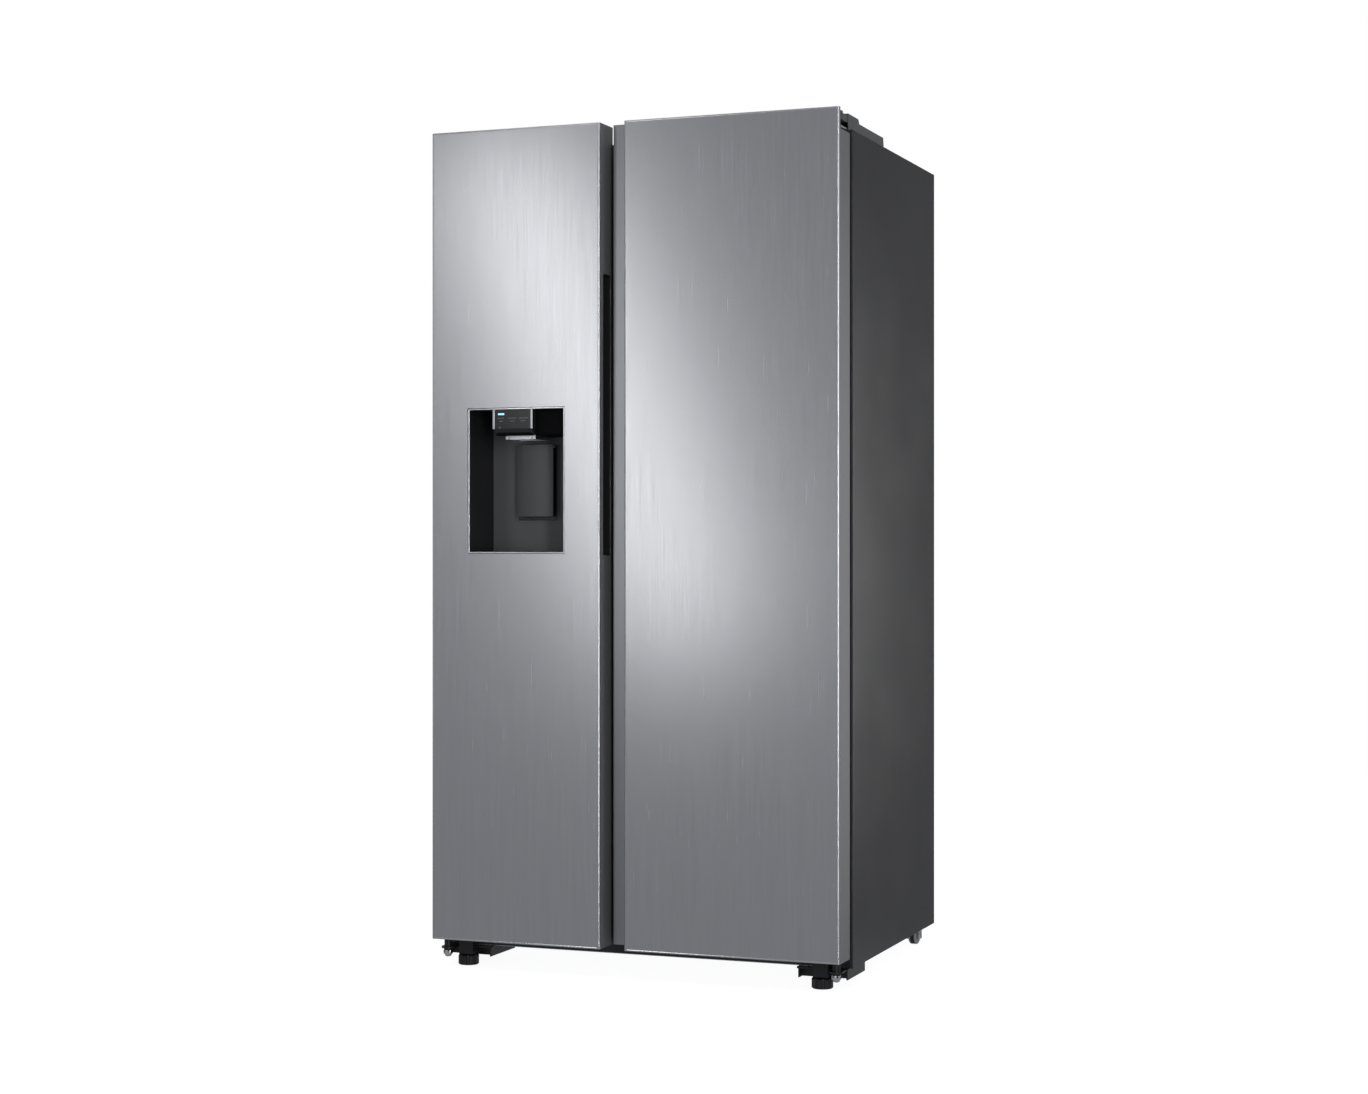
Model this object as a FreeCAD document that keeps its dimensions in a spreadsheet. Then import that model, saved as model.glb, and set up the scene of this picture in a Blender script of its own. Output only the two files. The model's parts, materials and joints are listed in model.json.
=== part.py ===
import FreeCAD, Part
import math
import os

import Sketcher

# Side by side refrigerator: a freezer on the left, a fresh food compartment on the right.
# Frame: +Z up, the doors face -Y, and the origin is on the floor under the middle of the whole machine.
# All sizes are millimetres. The driving sizes are cells of the sheet "dim", and the pieces read them.

DIMENSIONS = {
    # the whole machine
    "overall_width": 912,
    "overall_depth": 710,
    "cabinet_bottom": 40,
    "cabinet_top": 1733,
    "sheet_metal": 1.2,
    "liner_wall": 2.5,
    # the two compartments, inside their liners
    "side_wall": 48,
    "freezer_right": -90,
    "fridge_left": -30,
    "cavity_bottom": 107,
    "cavity_top": 1683,
    "cavity_rear": 295,
    "step_rear": 85,
    "step_top": 345,
    "machine_front": 135,
    "machine_top": 300,
    # the doors
    "door_bottom": 60,
    "door_top": 1768,
    "door_thickness": 70,
    "door_side": 452,
    "seal_gap": 7,
    "skin": 1.2,
    "skin_edge": 5,
    "cap_bottom": 100,
    "cap_top": 1700,
    "freezer_edge": -65,
    "fridge_edge": -12,
    "lip_edge": -52,
    "lip_depth": 42,
    "dyke_height": 28,
    "dyke_wall": 12,
    "dyke_bottom": 115,
    "dyke_top": 1675,
    "dyke_inset": 10,
    "gasket_width": 16,
    "gasket_bottom": 80,
    "gasket_top": 1711,
    # hinges
    "hinge_inset": 23,
    "hinge_depth": 40,
    "pin_radius": 5,
    "running_gap": 0.08,
    "recess_width": 72,
    "recess_floor": 1725,
    "cover_front_top": 1766,
    "cover_rear_top": 1757,
    "cover_width": 100,
    "cover_length": 258,
    "cover_step": 72,
    # handle pockets in the doors' inner edges
    "pocket_bottom": 874,
    "pocket_top": 1457,
    "pocket_front": 17,
    "pocket_opening": 40,
    "pocket_depth": 28,
    # dispenser
    "recess_left": -368,
    "recess_right": -144.5,
    "recess_bottom": 877,
    "recess_top": 1183,
    "recess_depth": 125,
    "housing_wall": 3,
    "panel_left": -310,
    "panel_width": 90,
    "panel_bottom": 1128,
    "chute_centre": -256,
    "chute_width": 69,
    "chute_bottom": 1117,
    "bulge": 14,
    "bucket_bottom": 1205,
    "bucket_height": 200,
    "paddle_width": 83,
    "paddle_bottom": 956,
    "paddle_top": 1109,
    "paddle_depth": 95,
    # feet and rollers
    "foot_x": 396,
    "foot_y": -291,
    "foot_radius": 22,
    "foot_height": 21,
    "roller_x": 425,
    "roller_y": 300,
    "roller_radius": 22,
    "roller_width": 18,
    # shelves, drawers and bins
    "shelf_front": -150,
    "drawer_front": -138,
    "glass": 4,
    "tub_wall": 3,
    "bin_reach": 116.5,
    "bin_hinge_gap": 55,
    "bin_depth": 110,
    "freezer_bin_gap": 36,
    "fridge_bin_gap": 33,
    "drawer_hinge_gap": 72,
    "duct_panel": 222,
    "duct_top": 1600,
    # machinery
    "fan_x": -249,
    "fan_z": 1080,
    "fan_radius": 62,
    "cooler_x": -20,
    "cooler_y": 240,
    "cooler_z": 170,
    "cooler_radius": 85,
    "compressor_x": 210,
    "valve_x": -400,
    "valve_z": 110,
    "inlet_x": 380,
}

# Places that several pieces share, as expressions on the sheet.
FRONT = "(-dim.overall_depth / 2)"
REAR = "(dim.overall_depth / 2)"
DOOR_BACK = f"({FRONT} + dim.door_thickness)"
CABINET_FRONT = f"({DOOR_BACK} + dim.seal_gap)"
SIDE = "(dim.overall_width / 2)"
CAVITY_SIDE = f"({SIDE} - dim.side_wall)"
INNER_FRONT = f"({CABINET_FRONT} + 1.5)"
HINGE_X = f"({SIDE} - dim.hinge_inset)"
HINGE_Y = f"({FRONT} + dim.hinge_depth)"
LINER_BACK = f"({DOOR_BACK} - 3)"

UP = FreeCAD.Vector(0, 0, 1)
TURNED = {
    "x": FreeCAD.Rotation(FreeCAD.Vector(0, 1, 0), 90),
    "y": FreeCAD.Rotation(FreeCAD.Vector(1, 0, 0), -90),
    "z": FreeCAD.Rotation(),
}

doc = FreeCAD.newDocument("refrigerator")
dim = doc.addObject("Spreadsheet::Sheet", "dim")
for row, (alias, value) in enumerate(DIMENSIONS.items(), start=1):
    dim.set(f"A{row}", str(value))
    dim.setAlias(f"A{row}", alias)
doc.recompute()

finished = {}


# ---------------------------------------------------------------- building blocks


def bind(thing, values):
    """Ties properties of thing to expressions on the sheet."""
    for prop, text in values.items():
        thing.setExpression(prop, text)
    return thing


def place(thing, x, y, z):
    return bind(thing, {"Placement.Base.x": x, "Placement.Base.y": y, "Placement.Base.z": z})


def block(x, y, z):
    """A box between two expressions on each axis."""
    box = doc.addObject("Part::Box", "block")
    bind(box, {
        "Length": f"{x[1]} - ({x[0]})",
        "Width": f"{y[1]} - ({y[0]})",
        "Height": f"{z[1]} - ({z[0]})",
    })
    return place(box, x[0], y[0], z[0])


def rod(radius, start, length, axis="z"):
    """A cylinder from start along an axis."""
    cylinder = doc.addObject("Part::Cylinder", "rod")
    cylinder.Placement.Rotation = TURNED[axis]
    bind(cylinder, {"Radius": radius, "Height": length})
    return place(cylinder, *start)


def fuse(*shapes):
    joined = doc.addObject("Part::MultiFuse", "joined")
    joined.Shapes = list(shapes)
    joined.Refine = True
    return joined


def cut(base, *tools):
    """base with every tool taken out of it."""
    for tool in tools:
        less = doc.addObject("Part::Cut", "cut")
        less.Base, less.Tool = base, tool
        less.Refine = True
        base = less
    return base


def group(*shapes):
    """Separate solids that share one node."""
    several = doc.addObject("Part::Compound", "group")
    several.Links = list(shapes)
    return several


def mirrored(source):
    """The same piece on the other side of the middle plane x = 0."""
    other = doc.addObject("Part::Mirroring", "mirrored")
    other.Source = source
    other.Normal = FreeCAD.Vector(1, 0, 0)
    return other


def origin_plane(body, role):
    return next(f for f in body.Origin.OriginFeatures if f.Role == role)


def attached_sketch(body, plane, offset):
    sketch = body.newObject("Sketcher::SketchObject", "sketch")
    sketch.AttachmentSupport = [(origin_plane(body, plane), "")]
    sketch.MapMode = "FlatFace"
    sketch.setExpression("AttachmentOffset.Base.z", offset)
    return sketch


def pin_down(sketch, line, point, across, along):
    """Ties one end of a sketched line to a place on the sheet."""
    for kind, text in (("DistanceX", across), ("DistanceY", along)):
        number = sketch.addConstraint(Sketcher.Constraint(kind, -1, 1, line, point, 1.0))
        sketch.renameConstraint(number, f"{kind}_{line}_{point}")
        sketch.setExpression(f"Constraints.{kind}_{line}_{point}", text)


def outline_sketch(body, plane, points, offset="0"):
    """A closed polygon on one of the body's origin planes, each corner tied to the sheet."""
    sketch = attached_sketch(body, plane, offset)
    count = len(points)
    turn = math.tau / count
    rough = [FreeCAD.Vector(math.cos(i * turn), math.sin(i * turn), 0) for i in range(count)]
    for i in range(count):
        sketch.addGeometry(Part.LineSegment(rough[i], rough[(i + 1) % count]))
    for i in range(count):
        sketch.addConstraint(Sketcher.Constraint("Coincident", i, 2, (i + 1) % count, 1))
    for i, (across, along) in enumerate(points):
        pin_down(sketch, i, 1, across, along)
    return sketch


def extruded(plane, points, low, high):
    """A PartDesign body: a polygon on an origin plane, padded between two places on its normal."""
    body = doc.addObject("PartDesign::Body", "extruded")
    sketch = outline_sketch(body, plane, points, low)
    pad = body.newObject("PartDesign::Pad", "pad")
    pad.Profile = sketch
    bind(pad, {"Length": f"{high} - ({low})"})
    doc.recompute()
    return body


def turned(points, axis_start, axis_end, y):
    """A PartDesign body: a polygon in the plane at y, revolved about the line between two of its places."""
    body = doc.addObject("PartDesign::Body", "turned")
    profile = outline_sketch(body, "XZ_Plane", points, f"-({y})")
    axis = attached_sketch(body, "XZ_Plane", f"-({y})")
    axis.addGeometry(Part.LineSegment(FreeCAD.Vector(0, 0, 0), FreeCAD.Vector(1, 0, 0)))
    pin_down(axis, 0, 1, *axis_start)
    pin_down(axis, 0, 2, *axis_end)
    revolution = body.newObject("PartDesign::Revolution", "revolution")
    revolution.Profile = profile
    revolution.ReferenceAxis = (axis, ["Edge1"])
    revolution.Angle = 360
    doc.recompute()
    return body


def rounded(source, radius, pick):
    """source with the edges that pick() accepts rounded, as a body on top of it."""
    doc.recompute()
    body = doc.addObject("PartDesign::Body", "rounded")
    body.BaseFeature = source
    doc.recompute()
    base = body.Group[0]
    names = [f"Edge{i}" for i, edge in enumerate(base.Shape.Edges, start=1) if pick(edge)]
    fillet = body.newObject("PartDesign::Fillet", "fillet")
    fillet.Base = (base, names)
    bind(fillet, {"Radius": radius})
    doc.recompute()
    return body


def runs_along(edge, axis):
    """True for a straight edge parallel to an axis."""
    if not isinstance(edge.Curve, Part.Line):
        return False
    direction = edge.Curve.Direction
    return abs(abs(getattr(direction, axis)) - 1) < 1e-6


def at(edge, **where):
    """True if the middle of edge lies at each given coordinate."""
    middle = edge.valueAt((edge.FirstParameter + edge.LastParameter) / 2)
    return all(abs(getattr(middle, axis) - value) < 0.01 for axis, value in where.items())


def size(text):
    """The number that an expression on the sheet comes to."""
    return float(dim.evalExpression(text))


def finish(name, thing):
    """Names a finished sub-part."""
    thing.Label = name
    finished[name] = thing
    return thing


# ---------------------------------------------------------------- cabinet shell


def side_panel():
    """Right side sheet with its front flange bent inwards, in plan view an L."""
    flange = f"({CAVITY_SIDE} + dim.liner_wall)"
    panel = extruded(
        "XY_Plane",
        [
            (flange, CABINET_FRONT),
            (SIDE, CABINET_FRONT),
            (SIDE, REAR),
            (f"{SIDE} - dim.sheet_metal", REAR),
            (f"{SIDE} - dim.sheet_metal", f"{CABINET_FRONT} + dim.sheet_metal"),
            (flange, f"{CABINET_FRONT} + dim.sheet_metal"),
        ],
        "dim.cabinet_bottom",
        "dim.cabinet_top - dim.sheet_metal",
    )
    corner = {"x": size(SIDE), "y": size(CABINET_FRONT)}
    return rounded(panel, "dim.sheet_metal * 2", lambda e: runs_along(e, "z") and at(e, **corner))


def cabinet_shell():
    right = finish("side_panel_right", side_panel())
    finish("side_panel_left", mirrored(right))
    inner_side = f"({SIDE} - dim.sheet_metal)"
    lid_z = ("dim.cabinet_top - dim.sheet_metal", "dim.cabinet_top")
    lid = block((f"-{SIDE}", SIDE), (CABINET_FRONT, REAR), lid_z)
    flange_side = f"({CAVITY_SIDE} + dim.liner_wall)"
    lid_flange = block(
        (f"-{flange_side}", flange_side),
        (CABINET_FRONT, f"{CABINET_FRONT} + dim.sheet_metal"),
        ("dim.cavity_top + dim.liner_wall", "dim.cabinet_top - dim.sheet_metal"),
    )
    finish("top_panel", fuse(lid, lid_flange))
    finish("back_panel", block(
        (f"-{inner_side}", inner_side),
        (f"{REAR} - dim.sheet_metal", REAR),
        ("dim.machine_top", "dim.cabinet_top - dim.sheet_metal"),
    ))
    base = block(
        (f"-{inner_side}", inner_side),
        (f"{CABINET_FRONT} + dim.sheet_metal", f"{REAR} - 4"),
        ("dim.cabinet_bottom", "dim.cabinet_bottom + 1.5"),
    )
    slot = block(
        ("dim.roller_x - 11", "dim.roller_x + 11"),
        ("dim.roller_y - dim.roller_radius - 4", "dim.roller_y + dim.roller_radius + 4"),
        ("dim.cabinet_bottom - 1", "dim.cabinet_bottom + 3"),
    )
    cheeks = roller_cheeks()
    base = cut(base, slot, mirrored(slot))
    finish("base_plate", fuse(base, *cheeks, *[mirrored(cheek) for cheek in cheeks]))
    rail_web = block(
        (f"-{flange_side}", flange_side),
        (CABINET_FRONT, INNER_FRONT),
        ("dim.cabinet_bottom + 1.5", "dim.cavity_bottom - dim.liner_wall"),
    )
    rail_foot = block(
        (f"-{flange_side}", flange_side),
        (CABINET_FRONT, f"{CABINET_FRONT} + 30"),
        ("dim.cabinet_bottom + 1.5", "dim.cabinet_bottom + 3"),
    )
    finish("base_rail", fuse(rail_web, rail_foot))
    finish("mullion_strip", block(
        ("dim.freezer_right - dim.liner_wall", "dim.fridge_left + dim.liner_wall"),
        (CABINET_FRONT, INNER_FRONT),
        ("dim.cavity_bottom - dim.liner_wall", "dim.cavity_top + dim.liner_wall"),
    ))


def compartment(left, right, grow):
    """The space of a compartment: full depth above the step over the machine room, shallower below it."""
    x = (f"{left} - {grow}", f"{right} + {grow}")
    upper = block(
        x,
        (INNER_FRONT, f"dim.cavity_rear + {grow}"),
        (f"dim.step_top - {grow}", f"dim.cavity_top + {grow}"),
    )
    lower = block(
        x,
        (INNER_FRONT, f"dim.step_rear + {grow}"),
        (f"dim.cavity_bottom - {grow}", f"dim.step_top + {grow}"),
    )
    return fuse(upper, lower)


COMPARTMENTS = {
    "freezer": (f"-{CAVITY_SIDE}", "dim.freezer_right"),
    "fridge": ("dim.fridge_left", CAVITY_SIDE),
}


def liners_and_foam():
    outer = {}
    for name, (left, right) in COMPARTMENTS.items():
        outer[name] = compartment(left, right, "dim.liner_wall")
        finish(f"{name}_liner", cut(outer[name], compartment(left, right, "0")))
    x = (f"-({SIDE} - dim.sheet_metal)", f"{SIDE} - dim.sheet_metal")
    z = ("dim.machine_top", "dim.cabinet_top - dim.sheet_metal")
    above = block(x, (INNER_FRONT, f"{REAR} - dim.sheet_metal"), z)
    below = block(x, (INNER_FRONT, "dim.machine_front"), ("dim.cabinet_bottom + 3", "dim.machine_top"))
    finish("cabinet_foam", cut(fuse(above, below), outer["freezer"], outer["fridge"]))


# ---------------------------------------------------------------- hinges, feet and rollers


def upper_hinge():
    """Right upper hinge: a plate on the cabinet's top that reaches over the door, and its pin."""
    thick = 4
    z = ("dim.cabinet_top", f"dim.cabinet_top + {thick}")
    arm = block((f"{HINGE_X} - 11", f"{HINGE_X} + 11"), (HINGE_Y, f"{CABINET_FRONT} + 90"), z)
    seat = block((f"{HINGE_X} - 66", f"{HINGE_X} + 11"), (f"{CABINET_FRONT} + 4", f"{CABINET_FRONT} + 90"), z)
    nose = rod("11", (HINGE_X, HINGE_Y, "dim.cabinet_top"), str(thick))
    pin_start = (HINGE_X, HINGE_Y, "dim.recess_floor - 20")
    pin = rod("dim.pin_radius", pin_start, "dim.cabinet_top - dim.recess_floor + 21")
    screws = [
        rod("5", (f"{HINGE_X} - {dx}", f"{CABINET_FRONT} + {dy}", f"dim.cabinet_top + {thick - 0.5}"), "4")
        for dx, dy in ((0, 30), (0, 72), (48, 50))
    ]
    return fuse(arm, seat, nose, pin, *screws)


def hinge_cover():
    """Right hinge cover: a hollow cap over the hinge plate, stepped down behind, with an arm over the pin."""
    start = f"({CABINET_FRONT} - 2)"
    step = f"({start} + dim.cover_step)"
    end = f"({start} + dim.cover_length)"
    outer_x, inner_x = f"({HINGE_X} + 14)", f"({HINGE_X} + 14 - dim.cover_width)"
    body = extruded(
        "YZ_Plane",
        [
            (start, "dim.cabinet_top"),
            (end, "dim.cabinet_top"),
            (f"{end} - 4", "dim.cover_rear_top"),
            (f"{step} + 7", "dim.cover_rear_top"),
            (step, "dim.cover_front_top"),
            (start, "dim.cover_front_top"),
        ],
        inner_x,
        outer_x,
    )
    shoulder = {"y": size(step), "z": size("dim.cover_front_top")}
    body = rounded(body, "6", lambda e: runs_along(e, "x") and at(e, **shoulder))
    inside = block(
        (f"{inner_x} + 2", f"{outer_x} - 2"),
        (f"{start} + 2", f"{end} - 8"),
        ("dim.cabinet_top - 1", "dim.cover_rear_top - 2.5"),
    )
    arm_bottom = "dim.cabinet_top + 15"
    arm_z = (arm_bottom, "dim.cover_front_top - 4")
    arm = block((f"{HINGE_X} - 12", f"{HINGE_X} + 12"), (HINGE_Y, f"{start} + 2"), arm_z)
    knob = rod("13", (HINGE_X, HINGE_Y, arm_bottom), "dim.cover_front_top - dim.cabinet_top - 15")
    mouth = block(
        (f"{HINGE_X} - 15", f"{HINGE_X} + 13"),
        (f"{start} - 1", f"{start} + 3"),
        ("dim.cabinet_top - 1", arm_bottom),
    )
    side_slot = block(
        (f"{HINGE_X} + 11", f"{HINGE_X} + 15"),
        (f"{start} - 1", f"{start} + 3"),
        ("dim.cabinet_top - 1", "dim.cabinet_top + 10"),
    )
    return fuse(cut(body, inside, mouth, side_slot), arm, knob)


def lower_hinge():
    """Right lower hinge: a plate under the cabinet with the door's pin, its cap nut and the foot's boss."""
    thick = 4
    low = f"dim.cabinet_bottom - {thick}"
    plate_y = (f"{CABINET_FRONT} - 12", f"{CABINET_FRONT} + 110")
    plate_z = (low, "dim.cabinet_bottom - 0.1")
    plate = block((f"{HINGE_X} - 92", f"{HINGE_X} + 16"), plate_y, plate_z)
    arm = block((f"{HINGE_X} - 14", f"{HINGE_X} + 14"), (HINGE_Y, CABINET_FRONT), plate_z)
    nose = rod("14", (HINGE_X, HINGE_Y, low), f"{thick} - 0.1")

    door_gap = "dim.door_bottom - dim.cabinet_bottom"
    pin = rod("dim.pin_radius", (HINGE_X, HINGE_Y, low), f"{door_gap} + 22")
    collar = rod("8", (HINGE_X, HINGE_Y, "dim.cabinet_bottom - 0.5"), f"{door_gap} - 1")
    nut = rod("9", (HINGE_X, HINGE_Y, f"{low} - 9"), "9.5")
    cap = rod("7", (HINGE_X, HINGE_Y, f"{low} - 14"), "6")

    boss_x = ("dim.foot_x - 16", "dim.foot_x + 16")
    boss_bottom = "dim.foot_height + 2"
    boss_front = block(
        boss_x,
        ("dim.foot_y - 15", f"{CABINET_FRONT} - 0.2"),
        (boss_bottom, "dim.door_bottom - 3"),
    )
    boss_low = block(boss_x, ("dim.foot_y - 15", "dim.foot_y + 30"), (boss_bottom, f"{low} + 1"))
    rib_z = ("dim.cabinet_bottom - 22", f"{low} + 1")
    skirt = block((f"{HINGE_X} + 13", f"{HINGE_X} + 16"), plate_y, rib_z)
    brace = block(("dim.foot_x - 52", "dim.foot_x - 49"), plate_y, rib_z)
    web_y = (f"{CABINET_FRONT} + 8", f"{CABINET_FRONT} + 11")
    web = block(("dim.foot_x - 52", f"{HINGE_X} + 16"), web_y, rib_z)

    stem_hole = rod(
        "dim.pin_radius + dim.running_gap",
        ("dim.foot_x", "dim.foot_y", "dim.foot_height"),
        "dim.door_bottom - dim.foot_height - 5",
    )
    foot_room = rod("dim.foot_radius + 3", ("dim.foot_x", "dim.foot_y", "0"), "dim.foot_height + 1")
    bracket = fuse(plate, arm, nose, pin, collar, nut, cap, boss_front, boss_low, skirt, brace, web)
    return cut(bracket, stem_hole, foot_room)


def levelling_foot():
    """Right front foot: an eight lobed knob on a threaded stem."""
    radius, height = "dim.foot_radius", "dim.foot_height"
    knob = turned(
        [
            ("dim.foot_x", "0"),
            (f"dim.foot_x + {radius} - 2", "0"),
            (f"dim.foot_x + {radius}", "2"),
            (f"dim.foot_x + {radius}", f"{height} - 2"),
            (f"dim.foot_x + {radius} - 2", height),
            ("dim.foot_x", height),
        ],
        ("dim.foot_x", "0"),
        ("dim.foot_x", height),
        "dim.foot_y",
    )
    lobes = 8
    grooves = []
    for i in range(lobes):
        angle = 360 / lobes * (i + 0.5)
        x = f"dim.foot_x + ({radius} + 2.2) * cos({angle})"
        y = f"dim.foot_y + ({radius} + 2.2) * sin({angle})"
        grooves.append(rod("4.5", (x, y, "3"), height))
    stem_start = ("dim.foot_x", "dim.foot_y", f"{height} - 1")
    stem = rod("dim.pin_radius", stem_start, f"dim.door_bottom - {height} - 6")
    return fuse(cut(knob, *grooves), stem)


def roller():
    """Right rear roller, a wheel with bevelled rims and its axle."""
    near, far = "(dim.roller_x - dim.roller_width / 2)", "(dim.roller_x + dim.roller_width / 2)"
    tread = "dim.roller_radius * 2"
    wheel = turned(
        [
            (near, "dim.roller_radius"),
            (near, f"{tread} - 2"),
            (f"{near} + 2", tread),
            (f"{far} - 2", tread),
            (far, f"{tread} - 2"),
            (far, "dim.roller_radius"),
        ],
        (near, "dim.roller_radius"),
        (far, "dim.roller_radius"),
        "dim.roller_y",
    )
    axle = rod("4", (f"{near} - 7", "dim.roller_y", "dim.roller_radius"), "dim.roller_width + 14", "x")
    return fuse(wheel, axle)


def roller_cheeks():
    """The two cheeks that hold the right roller's axle, below the base plate."""
    cheeks = []
    y = ("dim.roller_y - 12", "dim.roller_y + 12")
    z = ("dim.roller_radius - 10", "dim.cabinet_bottom + 0.5")
    for offset in ("-14", "11"):
        cheek = block((f"dim.roller_x + {offset}", f"dim.roller_x + {offset} + 3"), y, z)
        start = (f"dim.roller_x + {offset} - 1", "dim.roller_y", "dim.roller_radius")
        cheeks.append(cut(cheek, rod("4 + dim.running_gap", start, "5", "x")))
    return cheeks


def hardware():
    for name, make in (("upper_hinges", upper_hinge), ("lower_hinges", lower_hinge)):
        right = make()
        finish(name, group(right, mirrored(right)))
    for name, make in (("hinge_cover", hinge_cover), ("front_foot", levelling_foot), ("rear_roller", roller)):
        right = finish(f"{name}_right", make())
        finish(f"{name}_left", mirrored(right))


# ---------------------------------------------------------------- doors

DOORS = {
    "freezer": ("(-dim.door_side)", "dim.freezer_edge"),
    "fridge": ("dim.fridge_edge", "dim.door_side"),
}
DYKES = {
    "freezer": (f"(-{CAVITY_SIDE} + dim.dyke_inset)", "(dim.freezer_right - dim.dyke_inset - 2)"),
    "fridge": ("(dim.fridge_edge + 2)", f"({CAVITY_SIDE} - dim.dyke_inset)"),
}
GASKETS = {
    "freezer": (f"(-{HINGE_X} + 4)", "(dim.freezer_edge - 5)"),
    "fridge": ("(dim.lip_edge + 2)", f"({HINGE_X} - 4)"),
}
POCKET_FRONT = f"({FRONT} + dim.pocket_front)"
DOOR_HEIGHT = ("dim.door_bottom", "dim.door_top")
RECESS_BACK = f"({FRONT} + dim.recess_depth)"


def inset(span, by):
    """A span drawn in by the same amount at both ends."""
    return (f"{span[0]} + {by}", f"{span[1]} - ({by})")


def hinge_recess(name):
    """The notch over the hinge pin in a door's top outer corner, behind its front."""
    y = (f"{FRONT} + 6", f"{DOOR_BACK} + 1")
    z = ("dim.recess_floor", "dim.door_top + 1")
    if name == "fridge":
        return block(("dim.door_side - dim.recess_width", "dim.door_side + 1"), y, z)
    return block(("-dim.door_side - 1", "-dim.door_side + dim.recess_width"), y, z)


def pocket_space(name, wall):
    """A handle pocket's space in the door's inner edge, smaller by wall on each closed side."""
    z = inset(("dim.pocket_bottom", "dim.pocket_top"), wall)
    if name == "fridge":
        x = ("dim.fridge_edge", f"dim.fridge_edge + dim.pocket_depth - {wall}")
        back = f"{FRONT} + dim.lip_depth"
        reach = (f"{x[0]} - 2", x[1])
    else:
        x = (f"dim.freezer_edge - dim.pocket_depth + {wall}", "dim.freezer_edge")
        back = f"{POCKET_FRONT} + dim.pocket_opening"
        reach = (x[0], f"{x[1]} + 2")
    return block(x if wall == "0" else reach, inset((POCKET_FRONT, back), wall), z)


def dispenser_space(wall):
    """The dispenser's recess in the freezer door; wall is what lies around it."""
    x = (f"dim.recess_left - {wall}", f"dim.recess_right + {wall}")
    z = (f"dim.recess_bottom - {wall}", f"dim.recess_top + {wall}")
    return block(x, (f"{FRONT} - 1", f"{RECESS_BACK} + {wall}"), z)


def chute_duct(wall):
    """The slanted duct that brings ice from the bucket down to the dispenser."""
    x = inset(("dim.chute_centre - dim.chute_width / 2", "dim.chute_centre + dim.chute_width / 2"), wall)
    outlet = f"{FRONT} + 24 + {wall}"
    far = f"{FRONT} + 93 - {wall}"
    past_ends = "0" if wall == "0" else "1"
    low, high = f"dim.chute_bottom - {past_ends}", f"dim.bucket_bottom + {past_ends}"
    points = [
        (outlet, low),
        (far, low),
        (far, "dim.chute_bottom + 33"),
        (f"{FRONT} + 150 - {wall}", high),
        (f"{FRONT} + 81 + {wall}", high),
        (outlet, "dim.chute_bottom + 33"),
    ]
    return extruded("YZ_Plane", points, *x)


def door_block(name, by, back, z):
    """A door's outline drawn in by some amount, with its two front edges rounded, over a span of height."""
    left, right = inset(DOORS[name], by)
    front = f"({FRONT} + {by})"
    body = extruded("XY_Plane", [(left, front), (right, front), (right, back), (left, back)], *z)
    return rounded(body, f"dim.skin_edge - {by}", lambda e: runs_along(e, "z") and at(e, y=size(front)))


def door_shell(name):
    """A door's sheet metal skin: its front and both sides in one bent sheet."""
    outside = door_block(name, "0", DOOR_BACK, DOOR_HEIGHT)
    room = door_block(name, "dim.skin", f"{DOOR_BACK} + 1", ("dim.door_bottom - 1", "dim.door_top + 1"))
    return cut(outside, room, hinge_recess(name), pocket_space(name, "0"))


def door_caps(name):
    """The plastic end caps in a door's top and bottom, each with a hole for the hinge pin."""
    hinge_x = HINGE_X if name == "fridge" else f"-{HINGE_X}"
    hole = "dim.pin_radius + dim.running_gap"
    top = door_block(name, "dim.skin", LINER_BACK, ("dim.cap_top", "dim.door_top - 0.5"))
    top = cut(top, hinge_recess(name), rod(hole, (hinge_x, HINGE_Y, "dim.recess_floor - 22"), "30"))
    bottom = door_block(name, "dim.skin", LINER_BACK, ("dim.door_bottom", "dim.cap_bottom"))
    bottom = cut(bottom, rod(hole, (hinge_x, HINGE_Y, "dim.door_bottom - 1"), "26"))
    return [top, bottom]


def door_foam(name):
    return door_block(name, "dim.skin", LINER_BACK, ("dim.cap_bottom", "dim.cap_top"))


def door_liner(name):
    """A door's inner sheet with the dyke that stands into the compartment."""
    sheet = block(inset(DOORS[name], "dim.skin"), (LINER_BACK, DOOR_BACK), DOOR_HEIGHT)
    sheet = cut(sheet, hinge_recess(name))
    dyke_y = (f"{DOOR_BACK} - 1", f"{DOOR_BACK} + dim.dyke_height")
    dyke = block(DYKES[name], dyke_y, ("dim.dyke_bottom", "dim.dyke_top"))
    inside = block(
        inset(DYKES[name], "dim.dyke_wall"),
        (f"{DOOR_BACK} - 2", f"{DOOR_BACK} + dim.dyke_height + 1"),
        ("dim.dyke_bottom + dim.dyke_wall", "dim.dyke_top - dim.dyke_wall"),
    )
    return fuse(sheet, cut(dyke, inside))


def door_gasket(name):
    y = (DOOR_BACK, f"{CABINET_FRONT} - 0.3")
    z = ("dim.gasket_bottom", "dim.gasket_top")
    inner_x = inset(GASKETS[name], "dim.gasket_width")
    inner = block(inner_x, (f"{y[0]} - 1", f"{y[1]} + 1"), inset(z, "dim.gasket_width"))
    return cut(block(GASKETS[name], y, z), inner)


def tub(x, y, z, wall="dim.tub_wall"):
    """An open box: four walls and a floor."""
    inside = block(inset(x, wall), inset(y, wall), (f"{z[0]} + {wall}", f"{z[1]} + 1"))
    return cut(block(x, y, z), inside)


BIN_SPANS = {
    "freezer": (f"(-{HINGE_X} + dim.bin_hinge_gap)", "(dim.freezer_right - dim.freezer_bin_gap)"),
    "fridge": ("(dim.fridge_left + dim.fridge_bin_gap)", f"({HINGE_X} - dim.bin_hinge_gap)"),
}
BIN_BOTTOMS = {"freezer": (150, 500), "fridge": (150, 640, 1130)}


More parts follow.
